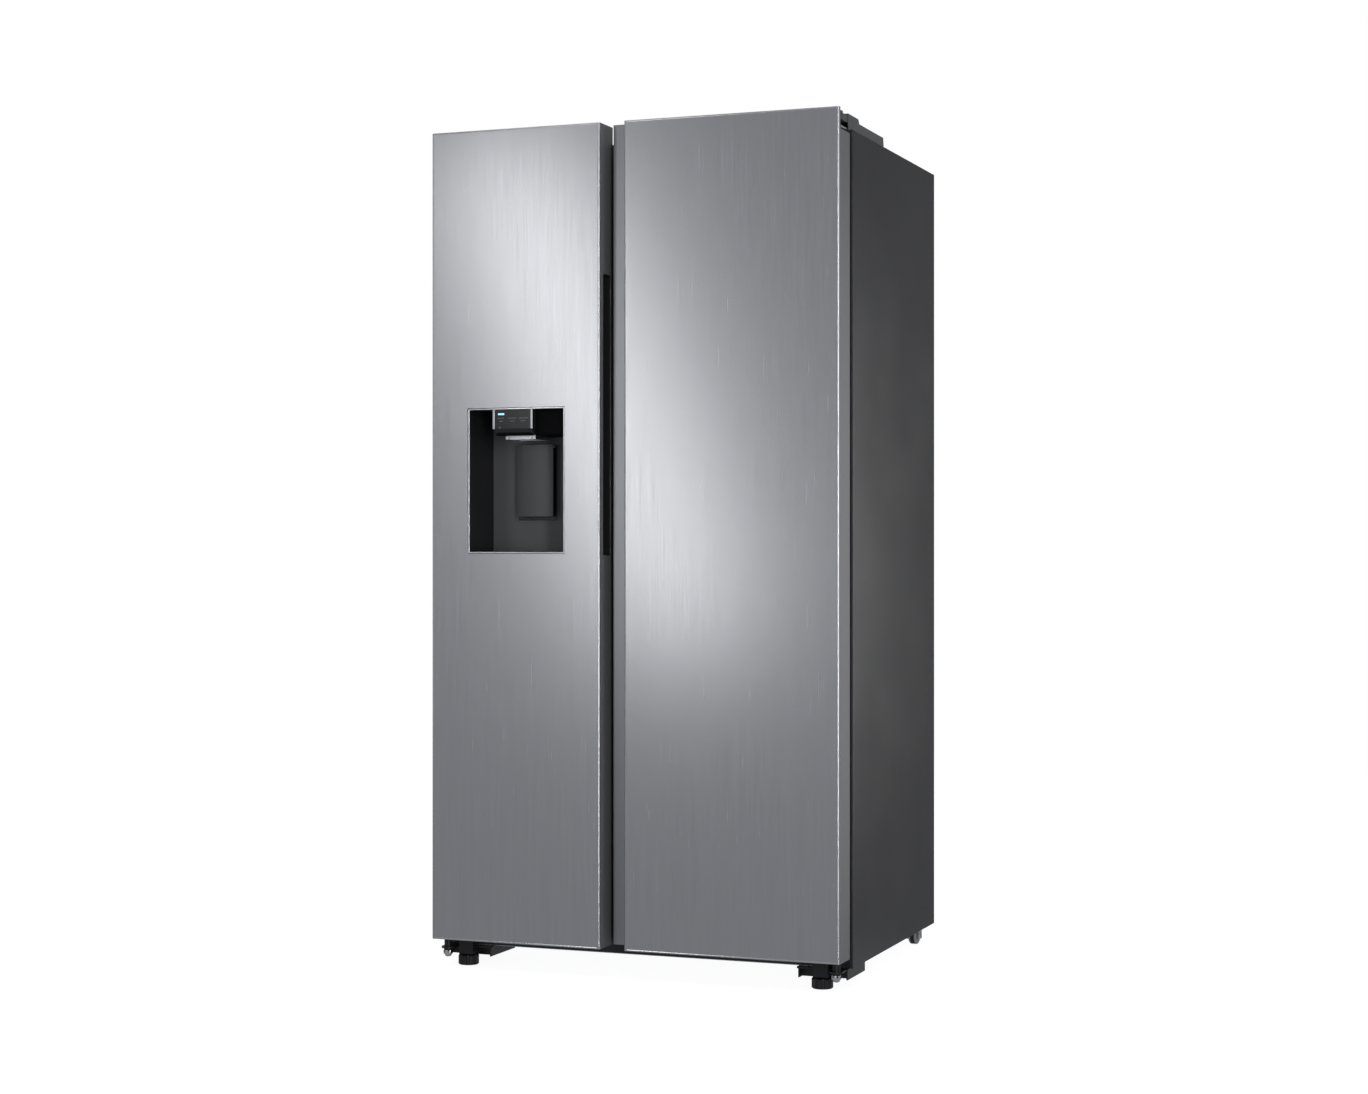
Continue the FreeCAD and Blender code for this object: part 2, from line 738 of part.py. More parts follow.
def bulge(wall, front):
    """The liner's swelling behind the dispenser, from a place in the door back to its rear wall."""
    x = inset(("dim.recess_left - dim.bulge", "dim.recess_right + dim.bulge"), wall)
    z = inset(("dim.recess_bottom - dim.bulge", "dim.recess_top + dim.bulge"), wall)
    return block(x, (front, f"{RECESS_BACK} + dim.bulge - {wall}"), z)


def make_room_for_dispenser(shell, foam, liner):
    """A door's skin, foam and liner with the dispenser's recess and the ice duct taken out of them."""
    duct = chute_duct("0")
    shell = cut(shell, dispenser_space("0"))
    liner = cut(liner, bulge("dim.housing_wall", f"{LINER_BACK} - 1"))
    hollow_bulge = cut(bulge("0", LINER_BACK), bulge("dim.housing_wall", f"{LINER_BACK} - 2"))
    liner = cut(fuse(liner, hollow_bulge), duct)
    foam = fuse(foam, bulge("dim.housing_wall", LINER_BACK))
    return shell, cut(foam, dispenser_space("dim.housing_wall"), duct), liner


def doors():
    for name in DOORS:
        pocket = pocket_space(name, "0")
        shell = door_shell(name)
        foam = cut(door_foam(name), pocket)
        liner = door_liner(name)
        caps = door_caps(name)
        if name == "freezer":
            shell, foam, liner = make_room_for_dispenser(shell, foam, liner)
        else:
            lip_y = (f"{FRONT} + dim.lip_depth", DOOR_BACK)
            lip_z = ("dim.door_bottom + 5", "dim.door_top")
            caps.append(block(("dim.lip_edge", "dim.fridge_edge"), lip_y, lip_z))
        finish(f"{name}_door_skin", shell)
        finish(f"{name}_door_frame", group(*caps))
        finish(f"{name}_door_foam", foam)
        finish(f"{name}_door_liner", liner)
        finish(f"{name}_door_gasket", door_gasket(name))
        finish(f"{name}_handle_pocket", cut(pocket, pocket_space(name, "2")))
        bin_y = (DOOR_BACK, f"{DOOR_BACK} + dim.bin_reach")
        for number, bottom in enumerate(BIN_BOTTOMS[name], start=1):
            bin_z = (str(bottom), f"{bottom} + dim.bin_depth")
            finish(f"{name}_door_bin_{number}", tub(BIN_SPANS[name], bin_y, bin_z))


def dispenser():
    """Housing, control panel, chute and paddle in the freezer door."""
    duct = chute_duct("0")
    pivot_y, pivot_z = f"({FRONT} + dim.paddle_depth + 4)", "(dim.paddle_top - 5)"
    left = "(dim.chute_centre - dim.paddle_width / 2)"
    right = "(dim.chute_centre + dim.paddle_width / 2)"
    hole = rod("2 + dim.running_gap", (f"{left} - 10", pivot_y, pivot_z), "dim.paddle_width + 20", "x")
    ear_y = (f"{pivot_y} - 5", f"{RECESS_BACK} + 1")
    ear_z = (f"{pivot_z} - 5", f"{pivot_z} + 5")
    ears = [cut(block((x, f"{x} + 4"), ear_y, ear_z), hole) for x in (f"{left} - 5", f"{right} + 1")]
    ahead = block(
        ("dim.recess_left - 10", "dim.recess_right + 10"),
        (f"{FRONT} - 2", f"{FRONT} + dim.skin"),
        ("dim.recess_bottom - 10", "dim.recess_top + 10"),
    )
    box = cut(dispenser_space("dim.housing_wall"), ahead, dispenser_space("0"), duct)
    finish("dispenser_housing", fuse(box, *ears))
    panel = extruded(
        "YZ_Plane",
        [
            (f"{FRONT} + 3", "dim.recess_top"),
            (f"{FRONT} + 3", "dim.panel_bottom + 9.5"),
            (f"{FRONT} + 12", "dim.panel_bottom"),
            (f"{FRONT} + 23.5", "dim.panel_bottom"),
            (f"{FRONT} + 23.5", "dim.recess_top"),
        ],
        "dim.panel_left",
        "dim.panel_left + dim.panel_width",
    )
    finish("control_panel", panel)
    finish("dispenser_chute", cut(duct, chute_duct("2.5")))
    plate = extruded(
        "XY_Plane",
        [
            (left, f"{FRONT} + dim.paddle_depth + 4"),
            (f"{left} + 14", f"{FRONT} + dim.paddle_depth + 1"),
            ("dim.chute_centre", f"{FRONT} + dim.paddle_depth"),
            (f"{right} - 14", f"{FRONT} + dim.paddle_depth + 1"),
            (right, f"{FRONT} + dim.paddle_depth + 4"),
            (right, f"{FRONT} + dim.paddle_depth + 7"),
            (left, f"{FRONT} + dim.paddle_depth + 7"),
        ],
        "dim.paddle_bottom",
        "dim.paddle_top",
    )
    pivot = rod("2", (f"{left} - 5", pivot_y, pivot_z), "dim.paddle_width + 10", "x")
    finish("dispenser_paddle", fuse(plate, pivot))


def ice_making():
    """Ice maker, bucket and auger on the back of the freezer door, above the dispenser."""
    x = BIN_SPANS["freezer"]
    y = (DOOR_BACK, f"{DOOR_BACK} + 106")
    shaft_y, shaft_z = f"({DOOR_BACK} + 53)", "(dim.bucket_bottom + 36)"
    bucket = tub(x, y, ("dim.bucket_bottom", "dim.bucket_bottom + dim.bucket_height"))
    outlet = block(
        ("dim.chute_centre - dim.chute_width / 2 + 2.5", "dim.chute_centre + dim.chute_width / 2 - 2.5"),
        (f"{FRONT} + 83.5", f"{FRONT} + 147.5"),
        ("dim.bucket_bottom - 1", "dim.bucket_bottom + 5"),
    )
    bore = rod("5 + dim.running_gap", (f"{x[0]} - 1", shaft_y, shaft_z), f"{x[1]} - {x[0]} + 2", "x")
    finish("ice_bucket", cut(bucket, outlet, bore))
    shaft = rod("5", (f"{x[0]}", shaft_y, shaft_z), f"{x[1]} - {x[0]}", "x")
    arms = []
    count = 8
    for i in range(count):
        arm = doc.addObject("Part::Cylinder", "arm")
        arm.Radius = 3.5
        arm.Height = 28
        arm.Placement.Rotation = FreeCAD.Rotation(FreeCAD.Vector(1, 0, 0), 360 / count * i)
        arms.append(place(arm, f"{x[0]} + 22 + 30 * {i}", shaft_y, shaft_z))
    finish("ice_auger", fuse(shaft, *arms))
    z = ("dim.bucket_bottom + dim.bucket_height + 35", "dim.bucket_bottom + dim.bucket_height + 155")
    maker = block(x, (DOOR_BACK, f"{DOOR_BACK} + 96"), z)
    mould = block(inset(x, "12"), (f"{DOOR_BACK} + 12", f"{DOOR_BACK} + 84"), (f"{z[1]} - 45", f"{z[1]} + 1"))
    under = block(inset(x, "6"), (f"{DOOR_BACK} + 6", f"{DOOR_BACK} + 97"), (f"{z[0]} - 1", f"{z[1]} - 55"))
    finish("ice_maker", cut(maker, mould, under))


# ---------------------------------------------------------------- inside the compartments

DRAWER_SPANS = {
    "freezer": (f"(-{HINGE_X} + dim.drawer_hinge_gap)", "(dim.freezer_right - 6)"),
    "fridge": ("(dim.fridge_left + 6)", f"({HINGE_X} - dim.drawer_hinge_gap)"),
}
SHELF_TOPS = {"freezer": (350, 560, 800, 1040, 1280), "fridge": (350, 560, 800, 1060, 1320)}
SHELF_REARS = {"freezer": "dim.duct_panel", "fridge": "(dim.cavity_rear - 27)"}


def drawer(x, y, z):
    """An open drawer with a front that stands a little higher and a hand grip under its top edge."""
    box = tub(x, y, z)
    front = block(x, y, (z[1], f"{z[1]} + 8"))
    front = cut(front, block(x, (f"{y[0]} + dim.tub_wall", f"{y[1]} + 1"), (f"{z[1]} - 1", f"{z[1]} + 9")))
    grip = block(inset(x, "60"), (f"{y[0]} - 8", y[0]), (f"{z[1]} - 6", f"{z[1]} - 2"))
    return fuse(box, front, grip)


def interiors():
    drawers = {
        "freezer": ("freezer_drawer_lower", "freezer_drawer_upper"),
        "fridge": ("crisper_lower", "crisper_upper"),
    }
    lamps = []
    for name, (left, right) in COMPARTMENTS.items():
        shelves = [
            block((left, right), ("dim.shelf_front", SHELF_REARS[name]), (f"{top} - dim.glass", str(top)))
            for top in SHELF_TOPS[name]
        ]
        finish(f"{name}_shelves", group(*shelves))
        lower, upper = drawers[name]
        x = DRAWER_SPANS[name]
        front = "(dim.drawer_front + 8)"
        finish(lower, drawer(x, (front, "dim.step_rear - 4"), ("dim.cavity_bottom + 0.5", "325")))
        finish(upper, drawer(x, (front, f"{SHELF_REARS[name]} - 4"), ("350.5", "540")))
        middle = f"({left} + {right}) / 2"
        lamp_x = (f"{middle} - 55", f"{middle} + 55")
        lamps.append(block(lamp_x, ("-90", "-40"), ("dim.cavity_top - 7", "dim.cavity_top")))
    finish("ceiling_lamps", group(*lamps))

    left, right = COMPARTMENTS["freezer"]
    panel = block((left, right), ("dim.duct_panel", "dim.duct_panel + 3"), ("dim.step_top", "dim.duct_top"))
    lid = block((left, right), ("dim.duct_panel", "dim.cavity_rear"), ("dim.duct_top - 3", "dim.duct_top"))
    fan_mouth = rod("dim.fan_radius + 4", ("dim.fan_x", "dim.duct_panel - 1", "dim.fan_z"), "6", "y")
    vent_y = ("dim.duct_panel - 1", "dim.duct_panel + 4")
    vents = [
        block((f"dim.fan_x + {side} - 32", f"dim.fan_x + {side} + 32"), vent_y, (str(z), f"{z} + 14"))
        for side in (-90, 90)
        for z in (700, 940, 1180)
    ]
    finish("freezer_duct_panel", cut(fuse(panel, lid), fan_mouth, *vents))
    x = ("dim.fridge_left + 130", f"{CAVITY_SIDE} - 130")
    z = ("600", "1640")
    box = block(x, ("dim.cavity_rear - 25", "dim.cavity_rear"), z)
    hollow = block(inset(x, "3"), ("dim.cavity_rear - 22", "dim.cavity_rear + 1"), ("603", "1637"))
    slot_y = ("dim.cavity_rear - 26", "dim.cavity_rear - 20")
    slots = [
        block(inset(x, "25"), slot_y, (str(height), f"{height} + 12"))
        for height in (700, 930, 1190, 1450)
    ]
    finish("fridge_duct_panel", cut(box, hollow, *slots))


# ---------------------------------------------------------------- cooling machinery


def fan(radius, hub, start, axis, blades=5):
    """A fan rotor: a hub with pitched blades, turning about an axis through start."""
    rotor = [rod(hub, start, "22", axis)]
    for i in range(blades):
        blade = doc.addObject("Part::Box", "blade")
        bind(blade, {"Length": f"{radius} - {hub} + 3", "Width": "26"})
        blade.Height = 2
        pitch = FreeCAD.Rotation(FreeCAD.Vector(1, 0, 0), 24)
        spin = FreeCAD.Rotation(UP, 360 / blades * i)
        spoke = spin.multVec(FreeCAD.Vector(size(hub) - 3, -12, 8))
        turn = TURNED[axis]
        blade.Placement.Rotation = turn.multiply(spin).multiply(pitch)
        away = turn.multVec(spoke)
        place(blade, f"{start[0]} + {away.x:.5f}", f"{start[1]} + {away.y:.5f}", f"{start[2]} + {away.z:.5f}")
        rotor.append(blade)
    return fuse(*rotor)


def finned_coil(x, y, z, fins, tubes):
    """Fins threaded on straight tubes that run along X."""
    pitch = f"(({x[1]}) - ({x[0]}) - 2) / {fins - 1}"
    plates = [block((f"{x[0]} + {pitch} * {i}", f"{x[0]} + {pitch} * {i} + 2"), y, z) for i in range(fins)]
    runs = []
    for i in range(tubes):
        height = f"{z[0]} + (({z[1]}) - ({z[0]})) * {i + 0.5} / {tubes}"
        runs.append(rod("5", (x[0], f"(({y[0]}) + ({y[1]})) / 2", height), f"({x[1]}) - ({x[0]})", "x"))
    coil = fuse(*plates, *runs)
    coil.Refine = False
    return coil


def machinery():
    finish("evaporator", finned_coil(
        (f"-{CAVITY_SIDE} + 14", "dim.freezer_right - 14"),
        ("dim.duct_panel + 8", "dim.cavity_rear - 4"),
        ("400", "880"),
        12,
        4,
    ))
    fan_start = ("dim.fan_x", "dim.duct_panel + 12", "dim.fan_z")
    finish("evaporator_fan", fan("dim.fan_radius", "18", fan_start, "y"))
    cooling_start = ("dim.cooler_x", "dim.cooler_y", "dim.cooler_z")
    finish("condenser_fan", fan("dim.cooler_radius", "22", cooling_start, "x"))
    evaporator_motor_start = ("dim.fan_x", "dim.duct_panel + 34.5", "dim.fan_z")
    evaporator_motor = rod("20", evaporator_motor_start, "dim.cavity_rear - dim.duct_panel - 34.5", "y")
    evaporator_arm = block(
        (f"-{CAVITY_SIDE}", "dim.freezer_right"),
        ("dim.cavity_rear - 6", "dim.cavity_rear"),
        ("dim.fan_z - 12", "dim.fan_z + 12"),
    )
    condenser_motor = rod("26", ("dim.cooler_x + 22.5", "dim.cooler_y", "dim.cooler_z"), "46", "x")
    condenser_post = block(
        ("dim.cooler_x + 30", "dim.cooler_x + 50"),
        ("dim.cooler_y - 12", "dim.cooler_y + 12"),
        ("dim.cabinet_bottom + 1.5", "dim.cooler_z"),
    )
    finish("fan_motors", group(fuse(evaporator_motor, evaporator_arm), fuse(condenser_motor, condenser_post)))
    finish("condenser", finned_coil(
        ("dim.cooler_x - 220", "dim.cooler_x - 30"),
        ("dim.cooler_y - 65", "dim.cooler_y + 65"),
        ("dim.cabinet_bottom + 1.5", "dim.cooler_z + 85"),
        10,
        4,
    ))

    centre, base = "dim.compressor_x", "(dim.cabinet_bottom + 14)"
    shell = turned(
        [
            (centre, base),
            (f"{centre} + 55", base),
            (f"{centre} + 78", f"{base} + 22"),
            (f"{centre} + 80", f"{base} + 105"),
            (f"{centre} + 72", f"{base} + 145"),
            (f"{centre} + 45", f"{base} + 168"),
            (centre, f"{base} + 175"),
        ],
        (centre, base),
        (centre, f"{base} + 175"),
        "dim.cooler_y",
    )
    feet = [block(
        (f"{centre} - 95", f"{centre} + 95"),
        (f"dim.cooler_y {side} 50 - 12", f"dim.cooler_y {side} 50 + 12"),
        (f"{base} - 0.5", f"{base} + 3"),
    ) for side in "+-"]
    pads = [
        rod("10", (f"{centre} + {dx}", f"dim.cooler_y + {dy}", "dim.cabinet_bottom + 1.5"), "12.2")
        for dx in (-82, 82)
        for dy in (-50, 50)
    ]
    pipe = rod("4", (f"{centre} - 35", "dim.cooler_y", f"{base} + 160"), "35")
    finish("compressor", fuse(shell, *feet, *pads, pipe))

    inner_side = f"({SIDE} - dim.sheet_metal)"
    cover_y = (f"{REAR} - 17", f"{REAR} - 15")
    cover = block((f"-{inner_side}", inner_side), cover_y, ("dim.cabinet_bottom + 1.5", "dim.machine_top"))
    louvre_y = (f"{REAR} - 18", f"{REAR} - 14")
    louvres = [
        block((str(x), f"{x} + 110"), louvre_y, (f"90 + 18 * {i}", f"96 + 18 * {i}"))
        for x in (-300, -170, 40, 170)
        for i in range(9)
    ]
    finish("machine_cover", cut(
        cover,
        *louvres,
        rod("12.5", ("dim.valve_x", f"{REAR} - 40", "dim.valve_z"), "60", "y"),
        rod("9", ("dim.inlet_x", f"{REAR} - 30", "dim.valve_z"), "60", "y"),
    ))

    valve = block(
        ("dim.valve_x - 22", "dim.valve_x + 22"),
        (f"{REAR} - 62", f"{REAR} - 30"),
        ("dim.valve_z - 14", "dim.valve_z + 14"),
    )
    coils = [rod("9", (f"dim.valve_x + {dx}", f"{REAR} - 46", "dim.valve_z + 13"), "36") for dx in (-11, 11)]
    leg = block(
        ("dim.valve_x - 5", "dim.valve_x + 5"),
        (f"{REAR} - 60", f"{REAR} - 40"),
        ("dim.cabinet_bottom + 1.5", "dim.valve_z - 13"),
    )
    collar = rod("12", ("dim.valve_x", f"{REAR} - 31", "dim.valve_z"), "16", "y")
    spigot = rod("7", ("dim.valve_x", f"{REAR} - 16", "dim.valve_z"), "15", "y")
    finish("water_valve", fuse(valve, *coils, leg, collar, spigot))
    flange = rod("13", ("dim.inlet_x", f"{REAR} - 15", "dim.valve_z"), "4", "y")
    neck = rod("9", ("dim.inlet_x", f"{REAR} - 28", "dim.valve_z"), "24", "y")
    bore = rod("4.5", ("dim.inlet_x", f"{REAR} - 29", "dim.valve_z"), "40", "y")
    finish("power_inlet", cut(fuse(flange, neck), bore))


cabinet_shell()
liners_and_foam()
hardware()
doors()
dispenser()
ice_making()
interiors()
machinery()
doc.recompute()

failed = [thing.Label for thing in doc.Objects if "Invalid" in thing.State or "Error" in thing.State]
failed += [name for name, thing in finished.items() if thing.Shape.isNull() or not thing.Shape.isValid()]
if failed:
    raise RuntimeError(f"these did not build: {', '.join(failed)}")

os.makedirs("parts", exist_ok=True)
for name, thing in finished.items():
    thing.Shape.exportStep(f"parts/{name}.step")
print(f"{len(finished)} sub-parts written")
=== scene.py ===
import json
import math

import bmesh
import bpy
from mathutils import Matrix, Vector


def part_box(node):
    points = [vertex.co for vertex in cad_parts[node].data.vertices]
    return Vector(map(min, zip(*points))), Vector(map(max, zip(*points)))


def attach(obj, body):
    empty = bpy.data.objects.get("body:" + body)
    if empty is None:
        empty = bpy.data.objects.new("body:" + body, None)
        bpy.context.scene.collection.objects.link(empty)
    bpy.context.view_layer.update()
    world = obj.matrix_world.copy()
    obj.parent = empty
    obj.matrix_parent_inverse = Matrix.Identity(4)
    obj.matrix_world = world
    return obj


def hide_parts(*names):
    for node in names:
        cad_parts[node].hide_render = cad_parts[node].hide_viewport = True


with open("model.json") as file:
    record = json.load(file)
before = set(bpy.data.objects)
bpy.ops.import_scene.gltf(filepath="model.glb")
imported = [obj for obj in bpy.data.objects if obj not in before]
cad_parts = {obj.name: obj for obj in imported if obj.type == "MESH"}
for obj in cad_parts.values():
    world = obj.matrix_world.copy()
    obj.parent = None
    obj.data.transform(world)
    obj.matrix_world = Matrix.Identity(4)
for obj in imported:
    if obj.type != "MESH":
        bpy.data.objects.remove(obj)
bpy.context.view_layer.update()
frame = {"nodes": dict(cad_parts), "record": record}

# Looks for the side by side refrigerator: finishes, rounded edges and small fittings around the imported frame.

MM = 0.001
EVEN = (1, 1, 1)
CREASE = math.radians(32)
RECORD = frame["record"]
SLOT_OF = {part["node"]: part["material_slot"] for part in RECORD["subparts"]}
BODY_OF = {node: body for body, nodes in RECORD["behaviour"]["bodies"].items() for node in nodes}


# ---------------------------------------------------------------- finishes


class Signal:
    """A shader value, so that node maths reads as ordinary expressions."""

    def __init__(self, finish, socket):
        self.finish = finish
        self.socket = socket

    def _with(self, other, operation, swapped=False):
        first, second = (other, self) if swapped else (self, other)
        return self.finish.add("ShaderNodeMath", {"operation": operation}, {0: first, 1: second})

    def __add__(self, other):
        return self._with(other, "ADD")

    def __sub__(self, other):
        return self._with(other, "SUBTRACT")

    def __rsub__(self, other):
        return self._with(other, "SUBTRACT", swapped=True)

    def __mul__(self, other):
        return self._with(other, "MULTIPLY")

    __radd__ = __add__
    __rmul__ = __mul__


class Finish:
    """A material under construction, with its Principled shader."""

    def __init__(self, name, **constants):
        self.material = bpy.data.materials.new(name)
        self.material.use_nodes = True
        self.nodes = self.material.node_tree.nodes
        self.links = self.material.node_tree.links
        self.shader = self.nodes["Principled BSDF"]
        self.set(**constants)

    def feed(self, socket, value):
        """Links a socket to a signal, or sets it to a plain value."""
        if isinstance(value, Signal):
            self.links.new(value.socket, socket)
        elif hasattr(value, "__len__") and len(value) == 3 and socket.type == "RGBA":
            socket.default_value = (*value, 1)
        else:
            socket.default_value = value

    def set(self, **values):
        """Sets or links the shader's sockets, named with underscores for spaces."""
        for name, value in values.items():
            self.feed(self.shader.inputs[name.replace("_", " ")], value)

    def add(self, kind, settings=None, sockets=None, output=0):
        """Adds a node: its settings first, then its sockets. Gives back one output."""
        node = self.nodes.new(kind)
        for name, value in (settings or {}).items():
            if name == "stops":
                ramp = node.color_ramp
                for element, (place, colour) in zip((ramp.elements[0], ramp.elements[1]), value):
                    element.position = place
                    element.color = (*colour, 1)
            else:
                setattr(node, name, value)
        for key, value in (sockets or {}).items():
            self.feed(node.inputs[key], value)
        return Signal(self, node.outputs[output])

    def grain(self, stretch, scale, detail=3.0, kind="ShaderNodeTexNoise", output=0):
        """A texture on Object coordinates, stretched along the axes."""
        place = self.add("ShaderNodeTexCoord", output="Object")
        scaled = self.add("ShaderNodeMapping", {}, {"Vector": place, "Scale": stretch})
        sockets = {"Vector": scaled, "Scale": scale}
        if kind == "ShaderNodeTexNoise":
            sockets["Detail"] = detail
        return self.add(kind, {}, sockets, output)

    def blend(self, factor, first, second):
        """A colour between two colours."""
        return self.add(
            "ShaderNodeMix", {"data_type": "RGBA"}, {"Factor": factor, 6: first, 7: second}, output=2
        )

    def bump(self, height, strength, distance):
        """Raises the surface by a signal, and gives back the finished material."""
        self.set(Normal=self.add(
            "ShaderNodeBump", {}, {"Height": height, "Strength": strength, "Distance": distance}
        ))
        return self.material


def scaled(colour, factor):
    """A colour made darker or lighter."""
    return tuple(c * factor for c in colour)


def brushed(name, colour, roughness, grain=0.10):
    """Metal brushed in fine upright lines."""
    finish = Finish(name, Metallic=1.0)
    fine = finish.grain((1, 1, 0.012), 620, 2)
    broad = finish.grain((1, 1, 0.03), 120, 3)
    tone = fine * 0.55 + broad * 0.45
    finish.set(
        Base_Color=finish.blend(tone, scaled(colour, 1 - grain), scaled(colour, 1 + grain)),
        Roughness=fine * 0.10 + (roughness - 0.05),
    )
    return finish.bump(fine, 0.025, 0.0004)


def painted(name, colour, roughness, peel=0.12, gloss=0.5):
    """Baked paint with a faint orange peel."""
    finish = Finish(name, Specular_IOR_Level=gloss)
    peel_height = finish.grain(EVEN, 520, 2)
    cloud = finish.grain(EVEN, 5, 3)
    finish.set(
        Base_Color=finish.blend(cloud, scaled(colour, 0.94), scaled(colour, 1.06)),
        Roughness=cloud * 0.08 + peel_height * 0.06 + (roughness - 0.07),
    )
    return finish.bump(peel_height, peel, 0.0006)


def moulded(name, colour, roughness, texture=0.15, scale=1500, gloss=0.5):
    """Moulded plastic with a fine spark texture."""
    finish = Finish(name, Specular_IOR_Level=gloss)
    spark = finish.grain(EVEN, scale, 2)
    cloud = finish.grain(EVEN, 14, 2)
    finish.set(
        Base_Color=finish.blend(cloud, scaled(colour, 0.92), scaled(colour, 1.08)),
        Roughness=spark * 0.10 + cloud * 0.05 + (roughness - 0.075),
    )
    return finish.bump(spark, texture, 0.0003)


def zinc(name):
    """Hot dipped steel with its spangle."""
    finish = Finish(name, Metallic=1.0)
    spangle = finish.grain(EVEN, 90, kind="ShaderNodeTexVoronoi", output="Color")
    shade = finish.add("ShaderNodeRGBToBW", {}, {"Color": spangle})
    finish.set(
        Base_Color=finish.blend(shade, (0.40, 0.41, 0.42), (0.58, 0.59, 0.60)),
        Roughness=shade * 0.16 + 0.34,
    )
    return finish.bump(shade, 0.03, 0.0003)


def clear(name, colour, alpha, roughness):
    """Clear moulding or glass: mostly see-through, denser where it is looked at edge on."""
    finish = Finish(name, Specular_IOR_Level=0.6, IOR=1.5)
    edge = finish.add("ShaderNodeLayerWeight", {}, {"Blend": 0.35}, "Facing")
    cloud = finish.grain(EVEN, 9, 2)
    finish.set(
        Base_Color=finish.blend(cloud, scaled(colour, 0.95), colour),
        Alpha=edge * (1 - alpha) * 0.75 + alpha,
        Roughness=cloud * 0.06 + roughness,
    )
    return finish.material


def foamed(name):
    """Rigid foam with closed cells."""
    finish = Finish(name, Roughness=0.95)
    cells = finish.grain(EVEN, 420, kind="ShaderNodeTexVoronoi")
    cloud = finish.grain(EVEN, 30, 4)
    finish.set(Base_Color=finish.blend(cloud, (0.72, 0.62, 0.36), (0.86, 0.78, 0.52)))
    return finish.bump(cells, 0.5, 0.001)


def lit_lens(name, colour, strength):
    """A frosted lens with light behind it."""
    finish = Finish(name, Roughness=0.5, Emission_Strength=strength)
    ribs = finish.grain(EVEN, 260, 2)
    finish.set(
        Base_Color=finish.blend(ribs, scaled(colour, 0.92), colour),
        Emission_Color=finish.blend(ribs, scaled(colour, 0.8), colour),
    )
    return finish.bump(ribs, 0.2, 0.0004)


FINISHES = {
    "steel_skin": brushed("brushed_steel", (0.62, 0.625, 0.645), 0.25),
    "cabinet_grey": painted("cabinet_paint", (0.034, 0.035, 0.039), 0.17, gloss=0.33),
    "galvanised": zinc("zinc_sheet"),
    "bright_steel": brushed("bright_steel", (0.78, 0.78, 0.79), 0.16, grain=0.03),
    "cap_grey": moulded("grey_moulding", (0.115, 0.117, 0.123), 0.45),
    "dark_plastic": moulded("dark_moulding", (0.020, 0.0205, 0.023), 0.42),
    "panel_grey": moulded("panel_gloss", (0.022, 0.023, 0.026), 0.22, 0.04),
    "silver_plastic": brushed("silver_trim", (0.62, 0.63, 0.65), 0.3, grain=0.04),
    "liner_white": moulded("liner_white", (0.80, 0.81, 0.82), 0.38, 0.06, 700),
    "foam": foamed("rigid_foam"),
    "gasket_rubber": moulded("gasket_rubber", (0.018, 0.018, 0.019), 0.62, 0.3),
    "clear_plastic": clear("clear_moulding", (0.80, 0.88, 0.92), 0.30, 0.10),
    "shelf_glass": clear("shelf_glass", (0.62, 0.80, 0.76), 0.26, 0.04),
    "coil_metal": brushed("coil_aluminium", (0.74, 0.75, 0.76), 0.38),
    "black_steel": painted("black_paint", (0.012, 0.012, 0.013), 0.36, 0.2),
    "fan_plastic": moulded("fan_moulding", (0.07, 0.07, 0.075), 0.4),
    "roller_plastic": moulded("roller_moulding", (0.34, 0.34, 0.32), 0.5),
    "lamp_lens": lit_lens("lamp_lens", (0.97, 0.98, 1.0), 1.2),
    "foot_black": moulded("foot_moulding", (0.012, 0.012, 0.013), 0.42, 0.25),
}
LIT_BLUE = lit_lens("pilot_blue", (0.25, 0.68, 0.95), 1.6)
PRINT_GREY = moulded("print_grey", (0.16, 0.165, 0.175), 0.5, 0.02)
# A grey back panel for the dispenser recess, lightened far beyond the recess's near-black walls as painted
# light that makes up for the light the deep recess keeps out.
REAR_PAINTED_LIGHT_GREY = moulded("rear_panel_painted_light", (0.16, 0.162, 0.168), 0.5, 0.1)
PADDLE_GREY = moulded("paddle_grey", (0.11, 0.112, 0.118), 0.34, 0.06)
# Near-black, almost lightless plastic: painted shade for the dark top of the dispenser recess and the underside
# of the control panel.
PAINTED_SHADE_BLACK = moulded("painted_shade_black", (0.003, 0.003, 0.004), 0.7, 0.1, gloss=0.12)
DOOR_SIDE = painted("door_side_grey", (0.20, 0.202, 0.212), 0.38, 0.05)
LIP_GREY = brushed("lip_satin", (0.40, 0.405, 0.42), 0.34)
COPPER = brushed("copper_tube", (0.80, 0.42, 0.26), 0.3, grain=0.06)


# ---------------------------------------------------------------- making pieces


def piece(name, bm, body, slot, material=None, replaces=()):
    """Turns a bmesh into a finished piece that rides on a body."""
    mesh = bpy.data.meshes.new(name)
    bm.to_mesh(mesh)
    bm.free()
    mesh.polygons.foreach_set("use_smooth", [True] * len(mesh.polygons))
    mesh.set_sharp_from_angle(angle=CREASE)
    mesh.materials.append(material or FINISHES[slot])
    made = bpy.data.objects.new(name, mesh)
    bpy.context.scene.collection.objects.link(made)
    even = made.modifiers.new("even_normals", "WEIGHTED_NORMAL")
    even.weight = 100
    even.keep_sharp = True
    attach(made, body)
    if replaces:
        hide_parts(*replaces)
    return made


def round_edges(bm, width, segments=2, angle=25, pick=None):
    """Rounds every edge that turns by more than an angle and that pick accepts."""
    edges = [
        e for e in bm.edges
        if len(e.link_faces) == 2 and e.calc_face_angle(0) > math.radians(angle) and (pick is None or pick(e))
    ]
    bmesh.ops.bevel(
        bm, geom=edges, offset=width, segments=segments, profile=0.5, affect="EDGES", material=-1,
        clamp_overlap=True,
    )
    return bm


